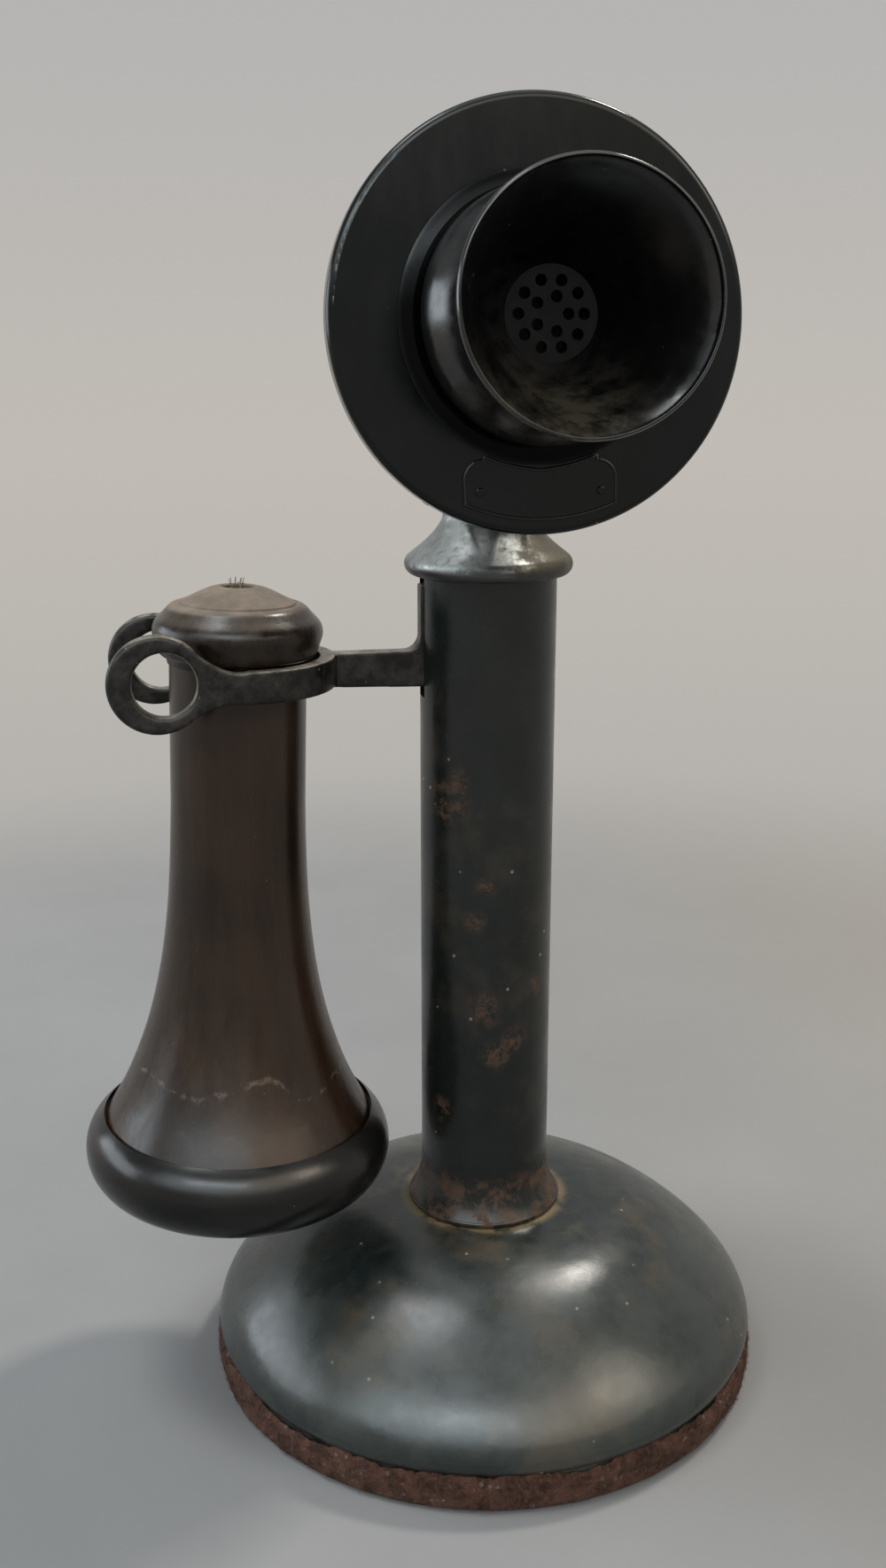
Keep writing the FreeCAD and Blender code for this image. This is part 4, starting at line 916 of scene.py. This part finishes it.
class Shop:
    """Keeps the built finishes and puts finished pieces on their bodies."""

    def __init__(self) -> None:
        """Build every finish once."""
        self.finishes = {finish.name: finish.material() for finish in FINISHES}

    def place(self, piece: bpy.types.Object, body: Body, slot: str, replaced: tuple[str, ...] = ()) -> None:
        """Dress a piece and let it ride on its body.

        Args:
            piece: The piece, where it belongs.
            body: The body it rides on.
            slot: The record's slot that its finish comes from.
            replaced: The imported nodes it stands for.
        """
        dress(piece, self.finishes[slot])
        if replaced:
            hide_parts(*replaced)
        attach(piece, body.value)
        log.info("%s rides on %s, %d faces", piece.name, body.value, len(piece.data.polygons))

    def dress_nodes(self) -> None:
        """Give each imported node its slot's finish."""
        for part in frame["record"]["subparts"]:
            node = frame["nodes"][part["node"]]
            dress(node, self.finishes[part["material_slot"]])
            log.info("%s is dressed as %s", part["node"], part["material_slot"])


# Sub-assemblies


@dataclass
class Base:
    """The domed base on its felt sole."""

    foot_radius: float = 0.0678
    felt_radius: float = 0.06885
    felt_top: float = 0.0086
    side_bulge: float = 0.00035
    side_tufts: Profile = ((0.0003, 150.0), (0.00028, 520.0), (0.00016, 1900.0))
    side_reach: tuple[float, float] = (-0.0007, 0.0009)
    edge_start: float = 0.0045
    edge_tufts: Profile = ((1.0, 60.0), (0.55, 300.0), (0.3, 900.0))
    edge_rise: float = 0.0019
    edge_reach: tuple[float, float] = (-0.0009, 0.0016)
    fibres: int = 11000
    fibre_heights: tuple[float, float] = (0.0008, 0.0082)
    fibre_lengths: tuple[float, float] = (0.0004, 0.0013)
    fibre_stand: float = 0.00012
    fibre_radius: float = 0.000035
    seed: int = 7

    def felt_profile(self) -> Profile:
        """The felt's outline from under the sole to behind its upper edge.

        Returns:
            (radius, height) pairs.
        """
        outer, top = self.felt_radius, self.felt_top
        points = [(0.0, 0.00015), (0.02, 0.00015), (0.045, 0.00015), (0.06, 0.00015), (outer - 0.0012, 0.0001)]
        points += [(outer - 0.0004, 0.0004)]
        points += [(outer, 0.001 + 0.0006 * step) for step in range(11)]
        points += [(outer - 0.0002, top - 0.0006), (outer - 0.0007, top - 0.0002)]
        points += [(self.foot_radius + 0.0002, top - 0.0003), (self.foot_radius + 0.0001, 0.006)]
        return points

    def tufted(self, point: Vector, tufts: Profile) -> float:
        """The sum of several sizes of wool tufts at a point.

        Args:
            point: The point.
            tufts: Depth and fineness of each size.

        Returns:
            The sum, which may be negative.
        """
        return sum(depth * noise(point * fineness) for depth, fineness in tufts)

    def ragged(self, point: Vector) -> Vector:
        """Where a point of the felt lies once the wool is worn.

        Args:
            point: The point on the even outline.

        Returns:
            The moved point.
        """
        if point.z < 0.0005:
            return point
        flat = Vector((point.x, point.y, 0.0)).normalized()
        bulge = self.side_bulge * math.sin(math.pi * min(1.0, point.z / self.felt_top))
        out = bulge + self.tufted(point, self.side_tufts)
        high = max(0.0, (point.z - self.edge_start) / (self.felt_top - self.edge_start))
        edge = self.tufted(Vector((point.x, point.y, 0.3)), self.edge_tufts)
        lift = high * (self.edge_rise * edge + 0.0004)
        out = min(max(out, self.side_reach[0]), self.side_reach[1])
        lift = min(max(lift, self.edge_reach[0]), self.edge_reach[1])
        return point + flat * out + Vector((0, 0, lift))

    def felt(self) -> bpy.types.Object:
        """The sole, with an uneven side and upper edge.

        Returns:
            The piece.
        """
        sole = revolved("felt_sole", self.felt_profile(), 900, 80.0)
        for vertex in sole.data.vertices:
            vertex.co = self.ragged(vertex.co.copy())
        return sole

    def fuzz(self) -> bpy.types.Object:
        """Short wool fibres that stand off the felt's side.

        Returns:
            The fibres as one piece.
        """
        chance = random.Random(self.seed)
        mesh = bmesh.new()
        lowest, highest = self.fibre_heights
        for _ in range(self.fibres):
            angle = chance.uniform(0, FULL_TURN)
            height = lowest + (highest - lowest) * chance.random() ** 0.8
            out = Vector((math.cos(angle), math.sin(angle), 0.0))
            along = Vector((-out.y, out.x, 0.0))
            start = self.ragged(out * self.felt_radius + Vector((0, 0, height)))
            lean = along * chance.uniform(-1, 1) + Vector((0, 0, chance.uniform(-0.6, 1.0))) + out * 0.35
            length = chance.uniform(*self.fibre_lengths)
            middle = start + lean.normalized() * length * 0.5 + out * self.fibre_stand
            tip = start + lean.normalized() * length + out * chance.uniform(0.0, 0.0002)
            side = lean.cross(out).normalized() * self.fibre_radius
            corners = [mesh.verts.new(p) for p in (start - side, start + side, middle + side, middle - side)]
            mesh.faces.new(corners)
            mesh.faces.new([corners[3], corners[2], mesh.verts.new(tip)])
        return finished("felt_fuzz", mesh, 180.0)

    def build(self, shop: Shop) -> None:
        """Make the base's own pieces.

        Args:
            shop: Where the finishes are and the pieces go.
        """
        shop.place(self.felt(), Body.STAND, "felt", ("base_felt",))
        shop.place(self.fuzz(), Body.STAND, "felt")


@dataclass
class Perch:
    """The worn cap on the stem."""

    voxel: float = 0.00034
    rounds: int = 8
    outline: Profile = ((0.01893, 0.20275), (0.0194, 0.20353), (0.01965, 0.2047), (0.01951, 0.20551),
                        (0.01903, 0.20635), (0.01822, 0.20703), (0.01651, 0.20836), (0.01471, 0.20988),
                        (0.0130, 0.2116), (0.0112, 0.2149))
    flute_depth: Profile = ((0.0, 0.2062), (0.0007, 0.2085), (0.0024, 0.2118), (0.0036, 0.2149))
    flute_half_width: float = 0.0085
    filled_half_width: float = 0.011
    filled_from_middle: float = 0.004
    flute_rounds: int = 60
    flute_low: float = 0.2066
    flute_high: float = 0.2185
    worn_rise: float = 0.0012
    worn_fall: float = 0.0025
    worn_depths: tuple[float, float] = (0.0035, 0.0055)
    worn_sides: tuple[float, float] = (0.0125, 0.0095)
    recess_radius: float = 0.0168
    recess_top: float = 0.2040

    def fill_flutes(self, cap: bpy.types.Object) -> None:
        """Raise the floor of the flutes, so that they run out above the bead and leave it whole.

        Args:
            cap: The cap, whose points are moved.
        """
        low, high = self.outline[0][1], self.outline[-1][1]
        for vertex in cap.data.vertices:
            point = vertex.co
            if not low < point.z < high or abs(point.x) > self.filled_half_width:
                continue
            if abs(point.y) < self.filled_from_middle:
                continue
            if point.z < self.recess_top and math.hypot(point.x, point.y) < self.recess_radius:
                continue
            radius = read_off(self.outline, point.z)
            across = max(0.0, 1.0 - (point.x / self.flute_half_width) ** 2)
            depth = read_off(self.flute_depth, point.z) * across
            floor = math.sqrt(max(0.0, radius ** 2 - point.x ** 2)) - depth
            if abs(point.y) < floor:
                point.y = math.copysign(floor, point.y)

    def in_flute(self, point: Vector) -> float:
        """How far a point of the cap belongs to the flutes at its front and back.

        Args:
            point: The point in metres.

        Returns:
            1 in a flute, falling to 0 at the brim, the ears and the spigot.
        """
        rise = share_of(point.z, self.flute_low, self.flute_low + self.worn_rise)
        fall = share_of(point.z, self.flute_high, self.flute_high - self.worn_fall)
        out = share_of(abs(point.y), *self.worn_depths)
        side = share_of(abs(point.x), *self.worn_sides)
        return rise * fall * out * side

    def build(self, shop: Shop) -> None:
        """Make the cap with its edges rubbed round and its flutes blended in.

        Args:
            shop: Where the finishes are and the pieces go.
        """
        cap = softened("perch_cap", "worn_cap", self.voxel, self.rounds)
        self.fill_flutes(cap)
        smoothed_where(cap, self.flute_rounds, self.in_flute)
        cap.data.shade_smooth()
        shop.place(cap, Body.STAND, "worn_nickel", ("perch_cap",))


@dataclass
class Hook:
    """The cast switch hook."""

    voxel: float = 0.00034
    rounds: int = 7

    def build(self, shop: Shop) -> None:
        """Make the hook with cast, rounded edges.

        Args:
            shop: Where the finishes are and the pieces go.
        """
        hook = softened("switch_hook", "cast_hook", self.voxel, self.rounds)
        shop.place(hook, Body.HOOK, "hook_metal", ("switch_hook",))


@dataclass
class Transmitter:
    """The tilting transmitter with its bell and blank badge."""

    centre: Place = (0.0, -0.0457, 0.2585)
    tilt_deg: float = 3.92
    inner_holes: int = 5
    hole_circle: float = 0.0034
    hole_radius: float = 0.00115
    hole_start_deg: float = 18.0
    grille_back: float = 0.0066
    grille_front: float = 0.0086
    flare_height: float = 0.028
    flare_inside: float = 0.02195
    lip_height: float = 0.0371
    lip_radius: float = 0.02431
    lip_round: float = 0.0012
    lip_rise: float = 0.00141
    lip_swell: float = 1.2
    lip_thinned: float = 0.48
    badge_face: float = 0.00035
    bead_radius: float = 0.00032
    weld: float = 1e-6

    def own_frame(self) -> Matrix:
        """The transmitter's axis, with z out of the bell and y up."""
        turn = Matrix.Rotation(math.radians(90 - self.tilt_deg), 4, "X")
        return Matrix.Translation(self.centre) @ turn

    def welded(self, data: bpy.types.Mesh) -> bmesh.types.BMesh:
        """A mesh with the points that lie on each other made one.

        Args:
            data: The mesh, which stays as it is.

        Returns:
            The new mesh, which its user frees.
        """
        mesh = bmesh.new()
        mesh.from_mesh(data)
        bmesh.ops.remove_doubles(mesh, verts=mesh.verts, dist=self.weld)
        return mesh

    def bell(self) -> bpy.types.Object:
        """The bell, in its own frame, with its mouth opened out to a thin rolled lip.

        Returns:
            The piece.
        """
        bell = copied("mouthpiece", "bell", self.own_frame())
        self.turn_inner_holes(bell)
        for vertex in bell.data.vertices:
            vertex.co = self.opened(vertex.co.copy())
        packed_normals = bell.data.attributes.get("custom_normal")
        if packed_normals is not None:
            bell.data.attributes.remove(packed_normals)
        bell.data.shade_smooth()
        bell.data.set_sharp_from_angle(angle=math.radians(40))
        return bell

    def rods(self, name: str, radius: float, low: float, high: float, start_deg: float) -> bpy.types.Object:
        """Rods along the bell's axis, on the circle of the grille's inner holes.

        Args:
            name: The object's name.
            radius: Each rod's radius.
            low: Where the rods start on the bell's axis.
            high: Where they end.
            start_deg: Where the first rod stands on the circle.

        Returns:
            The rods as one object in the bell's frame.
        """
        mesh = bmesh.new()
        for index in range(self.inner_holes):
            angle = math.radians(start_deg + 360 / self.inner_holes * index)
            centre = (self.hole_circle * math.cos(angle), self.hole_circle * math.sin(angle), (low + high) / 2)
            bmesh.ops.create_cone(mesh, cap_ends=True, segments=40, radius1=radius, radius2=radius,
                                  depth=high - low, matrix=Matrix.Translation(centre))
        rods = finished(name, mesh)
        rods.matrix_world = self.own_frame()
        return rods

    def turn_inner_holes(self, bell: bpy.types.Object) -> None:
        """Set the grille's inner holes between the outer ones, by filling them and boring new ones.

        Args:
            bell: The bell's copy, whose mesh is changed.
        """
        mesh = self.welded(bell.data)
        mesh.to_mesh(bell.data)
        mesh.free()
        low, high = self.grille_back, self.grille_front
        plugs = self.rods("plugs", self.hole_radius + 0.0001, low + 0.00001, high - 0.00001, self.hole_start_deg)
        bores = self.rods("bores", self.hole_radius, low - 0.0005, high + 0.0005, 0.0)
        for tool, operation in ((plugs, "UNION"), (bores, "DIFFERENCE")):
            cut = bell.modifiers.new(tool.name, "BOOLEAN")
            cut.operation = operation
            cut.solver = "EXACT"
            cut.object = tool
        settle(bell)
        for tool in (plugs, bores):
            bpy.data.objects.remove(tool)

    def opened(self, point: Vector) -> Vector:
        """Where a point of the bell's mouth lies once the mouth is opened out.

        Args:
            point: The point in the bell's own frame.

        Returns:
            The moved point. The bell's outside stays where it is.
        """
        radius = math.hypot(point.x, point.y)
        if point.z >= self.lip_height:
            wider = self.lip_radius - (self.lip_radius - radius) * (1 - self.lip_thinned)
            if radius < self.lip_radius - self.lip_round:
                rise = share_of(point.z, self.lip_height, self.lip_height + self.lip_rise)
                wider += self.lip_swell * self.lip_rise * rise * (1 - rise)
        elif point.z > self.flare_height and radius < self.flare_inside:
            share = (point.z - self.flare_height) / (self.lip_height - self.flare_height)
            inner = self.lip_radius - 2 * self.lip_round
            wider = radius + (self.lip_radius - inner) * self.lip_thinned * share ** 3
        else:
            return point
        return Vector((point.x * wider / radius, point.y * wider / radius, point.z))

    def badge_outline(self) -> list[Vector]:
        """The longest edge line round the badge's face, in the transmitter's frame.

        Returns:
            The line's points in order.
        """
        mesh = self.welded(frame["nodes"]["faceplate_badge"].data)
        mesh.transform(self.own_frame().inverted())
        mesh.normal_update()
        inner = [face for face in mesh.faces if face.normal.z > 0.99]
        beside: dict[bmesh.types.BMVert, list[bmesh.types.BMVert]] = {}
        for edge in mesh.edges:
            if sum(face in inner for face in edge.link_faces) == 1:
                for vertex in edge.verts:
                    beside.setdefault(vertex, []).append(edge.other_vert(vertex))
        left = set(beside)
        loops: list[list[Vector]] = []
        while left:
            loop = []
            ahead = [next(iter(left))]
            while ahead:
                left.discard(ahead[0])
                loop.append(ahead[0].co.copy())
                ahead = [vertex for vertex in beside[ahead[0]] if vertex in left]
            loops.append(loop)
        mesh.free()
        return max(loops, key=len)

    def badge_bead(self) -> bpy.types.Object:
        """The raised edge that runs round the blank badge.

        Returns:
            The piece.
        """
        outline = self.badge_outline()
        middle = sum(outline, Vector()) / len(outline)
        data = bpy.data.curves.new("badge_bead", "CURVE")
        data.dimensions = "3D"
        data.bevel_depth = self.bead_radius
        data.bevel_resolution = 3
        spline = data.splines.new("POLY")
        spline.points.add(len(outline) - 1)
        for point, place in zip(spline.points, outline):
            inward = (middle - place).normalized() * self.bead_radius
            point.co = (place.x + inward.x, place.y + inward.y, self.badge_face, 1.0)
        spline.use_cyclic_u = True
        line = shown("badge_bead_line", data)
        bead = shown("badge_bead", evaluated_mesh(line))
        bpy.data.objects.remove(line)
        bead.data.shade_smooth()
        bead.matrix_world = self.own_frame()
        return bead

    def build(self, shop: Shop) -> None:
        """Make the transmitter's own pieces.

        Args:
            shop: Where the finishes are and the pieces go.
        """
        shop.place(self.bell(), Body.TRANSMITTER, "bell_rubber", ("mouthpiece",))
        shop.place(self.badge_bead(), Body.TRANSMITTER, "cup_enamel")
        # Painted shade: the diaphragm behind the grille takes the dark soft-rubber finish, so that the grille's
        # holes look black.
        dress(frame["nodes"]["transmitter_diaphragm"], shop.finishes["soft_rubber"])


@dataclass
class Receiver:
    """The receiver that hangs in the fork."""

    x: float = -0.05895
    lean_deg: float = 1.8
    lean_height: float = 0.174
    cap_top: float = 0.2008
    ledge_height: float = 0.1969
    cord_radius: float = 0.0020
    strands: int = 15
    strand_turn: float = 2.4
    strand_steps: int = 5
    strand_sides: int = 5
    strand_root: float = 0.004
    strand_spread: float = 0.0016
    strand_rise: tuple[float, float] = (0.0038, 0.0060)
    strand_radius: tuple[float, float] = (0.00014, 0.0003)
    seed: int = 11

    def placed(self) -> Matrix:
        """From the receiver's own axis to where it hangs.

        Returns:
            The receiver's lean about its middle.
        """
        pivot = Matrix.Translation((self.x, 0, self.lean_height))
        lean = Matrix.Rotation(math.radians(self.lean_deg), 4, "Y")
        return pivot @ lean @ Matrix.Translation((0, 0, -self.lean_height))

    def frayed_cord(self) -> bpy.types.Object:
        """The torn end of the cord, as a bunch of cotton strands.

        Returns:
            The strands as one piece.
        """
        chance = random.Random(self.seed)
        mesh = bmesh.new()
        sides = [FULL_TURN * side / self.strand_sides for side in range(self.strand_sides)]
        for strand in range(self.strands):
            angle = self.strand_turn * strand
            out = Vector((math.cos(angle), math.sin(angle), 0))
            reach = self.cord_radius * math.sqrt((strand + 0.5) / self.strands) * 0.85
            base = out * reach + Vector((0, 0, self.cap_top - self.strand_root))
            spread = out * chance.uniform(0.0, self.strand_spread)
            rise = chance.uniform(*self.strand_rise)
            thick = chance.uniform(*self.strand_radius)
            rings = []
            for step in range(self.strand_steps + 1):
                t = step / self.strand_steps
                twist = Vector((chance.uniform(-1, 1), chance.uniform(-1, 1), 0)) * 0.0002 * t
                centre = base + spread * t * t + Vector((0, 0, rise * t)) + twist
                size = thick * (1 - 0.6 * t)
                rings.append([mesh.verts.new(centre + Vector((size * math.cos(a), size * math.sin(a), 0)))
                              for a in sides])
            for low, high in zip(rings, rings[1:]):
                for corner in range(self.strand_sides):
                    after = (corner + 1) % self.strand_sides
                    mesh.faces.new([low[corner], low[after], high[after], high[corner]])
            mesh.faces.new(rings[-1])
        cord = finished("frayed_cord", mesh, 60.0)
        cord.matrix_world = self.placed()
        return cord

    def build(self, shop: Shop) -> None:
        """Make the receiver's own pieces.

        Args:
            shop: Where the finishes are and the pieces go.
        """
        shop.place(self.frayed_cord(), Body.RECEIVER, "cotton", ("cord_stub",))
        cap = ReceiverCapRubber("receiver_cap_rubber", (0.0085, 0.0060, 0.0042), (0.175, 0.135, 0.10),
                                self.ledge_height)
        dress(frame["nodes"]["receiver_cap"], cap.material())


# Studio


@dataclass(frozen=True)
class Lamp:
    """One soft box that faces the telephone."""

    name: str
    place: Place
    size: tuple[float, float]
    power: float
    colour: Colour
    aim: Place = (-0.02, 0.0, 0.14)

    def hang(self) -> None:
        """Put the lamp into the scene, unseen by the camera."""
        data = bpy.data.lights.new(self.name, "AREA")
        data.shape = "RECTANGLE"
        data.size, data.size_y = self.size
        data.energy = self.power
        data.color = self.colour
        made = shown(self.name, data)
        made.location = self.place
        made.rotation_mode = "QUATERNION"
        made.rotation_quaternion = (Vector(self.aim) - Vector(self.place)).to_track_quat("-Z", "Y")
        made.visible_camera = False


@dataclass
class Studio:
    """The floor, the soft lights, the background and the camera."""

    floor_clear: float = 0.30
    floor_gone: float = 0.62
    floor_drop: float = 0.0002
    camera_place: Place = (-0.07934, -0.36089, 0.25318)
    camera_turn_deg: Place = (74.562, 0.0, -10.76)
    lens: float = 36.433
    sky: tuple[tuple[float, Colour], ...] = (
        (0.0, (0.33, 0.335, 0.34)), (0.29, (0.36, 0.365, 0.365)), (0.36, (0.46, 0.445, 0.42)),
        (0.47, (0.53, 0.50, 0.46)), (0.6, (0.46, 0.455, 0.45)), (0.86, (0.36, 0.36, 0.36)),
        (0.93, (0.7, 0.72, 0.72)), (1.0, (1.5, 1.54, 1.56)))
    window_left: Colour = (3.1, 3.45, 3.6)
    window_right: Colour = (3.0, 2.65, 2.2)
    fill_light: Colour = (0.47, 0.48, 0.5)
    fill_strength: float = 0.57
    lamps: tuple[Lamp, ...] = (
        Lamp("key_behind", (0.57, 0.36, 1.20), (0.16, 0.16), 6.2, (1.0, 0.95, 0.87)),
        Lamp("top_left", (-0.40, -0.02, 1.28), (0.42, 0.34), 4.2, (0.93, 0.97, 1.0)),
        Lamp("cool_window", (-0.42, -0.95, 0.93), (0.95, 0.24), 3.4, (0.88, 0.95, 1.0)),
        Lamp("warm_front", (0.82, -0.60, 0.83), (0.34, 0.34), 1.6, (1.0, 0.9, 0.77)),
        Lamp("window_left", (-1.15, 0.35, 0.42), (1.0, 0.42), 5.2, (0.84, 0.93, 1.0)))

    def floor(self) -> None:
        """A pale matt floor that fades into the background, painted warmer towards the right as warm light."""
        slab = revolved("studio_floor", [(0.0, 0.0), (0.25, 0.0), (self.floor_gone + 0.05, 0.0)], 128)
        slab.location.z = -self.floor_drop
        paint = Paint("studio_floor")
        even = paint.colour(paint.patches(0.3, 0.7, 0.09, 5.0), (0.335, 0.336, 0.334), (0.365, 0.365, 0.362))
        # Painted warm light: the floor's colour turns warmer towards the right, where the warm lamps shine.
        warm = paint.between(paint.axis(0), -0.05, 0.4)
        dress(slab, paint.sealed({
            "Base Color": paint.colour(warm, even, (0.40, 0.368, 0.325)), "Roughness": 0.9,
            "Specular IOR Level": 0.2, "Normal": paint.bump(paint.noise(0.002, 5.0), 0.00005),
            "Alpha": paint.fading(paint.from_axis(), self.floor_clear, self.floor_gone)}))

    def background(self) -> None:
        """A soft grey world, seen as a pale backdrop by the camera, gloss and glass."""
        world = bpy.data.worlds.new("studio")
        bpy.context.scene.world = world
        world.use_nodes = True
        graph = Graph(world.node_tree)
        direction = graph.node("ShaderNodeTexCoord", {}).outputs["Generated"]
        axes = graph.node("ShaderNodeSeparateXYZ", {0: direction}).outputs
        height = graph.node("ShaderNodeMath", {0: axes[2], 1: 0.5, 2: 0.5}, operation="MULTIPLY_ADD")
        ramp = graph.node("ShaderNodeValToRGB", {0: height.outputs[0]})
        first, last = ramp.color_ramp.elements
        first.position, first.color = self.sky[0][0], (*self.sky[0][1], 1.0)
        last.position, last.color = self.sky[-1][0], (*self.sky[-1][1], 1.0)
        for place, shade in self.sky[1:-1]:
            ramp.color_ramp.elements.new(place).color = (*shade, 1.0)
        colour = self.with_window(graph, axes, ramp.outputs[0])
        seen = graph.node("ShaderNodeBackground", {0: colour, 1: 1.0})
        lit = graph.node("ShaderNodeBackground", {0: self.fill_light, 1: self.fill_strength})
        rays = graph.node("ShaderNodeLightPath", {}).outputs
        shown_to = graph.highest(rays["Is Camera Ray"], rays["Is Glossy Ray"], rays["Is Transmission Ray"])
        mix = graph.node("ShaderNodeMixShader", {0: shown_to, 1: lit.outputs[0], 2: seen.outputs[0]})
        graph.node("ShaderNodeOutputWorld", {0: mix.outputs[0]})

    def with_window(self, graph: Graph, axes: Sequence[Socket], under: Socket) -> Socket:
        """Lay the bright upper front of the room over the world, cool at the left and warm at the right.

        Args:
            graph: The world's graph.
            axes: The direction's x, y and z.
            under: The world's colour without it.

        Returns:
            The world's colour with it.
        """
        share = graph.times(graph.between(axes[2], 0.20, 0.52), graph.fading(axes[2], 0.70, 0.86),
                            graph.fading(axes[1], -0.45, -0.1))
        tone = graph.colour(graph.between(axes[0], -0.3, 0.4), self.window_left, self.window_right)
        return graph.colour(share, under, tone)

    def camera(self) -> None:
        """The camera at the photograph's place and angle."""
        data = bpy.data.cameras.new("camera")
        data.lens = self.lens
        data.sensor_width = 36.0
        data.clip_start = 0.01
        made = shown("camera", data)
        made.location = self.camera_place
        made.rotation_euler = [math.radians(angle) for angle in self.camera_turn_deg]
        bpy.context.scene.camera = made

    def build(self) -> None:
        """Set up the whole studio."""
        self.camera()
        self.floor()
        self.background()
        for lamp in self.lamps:
            lamp.hang()
        bpy.context.scene.view_settings.view_transform = "Standard"


def main() -> None:
    """Build the studio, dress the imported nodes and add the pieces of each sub-assembly."""
    logging.basicConfig(level=logging.INFO, format="%(name)s: %(message)s")
    Studio().build()
    shop = Shop()
    shop.dress_nodes()
    Base().build(shop)
    Perch().build(shop)
    Hook().build(shop)
    Transmitter().build(shop)
    Receiver().build(shop)


if __name__ == "__main__":
    main()
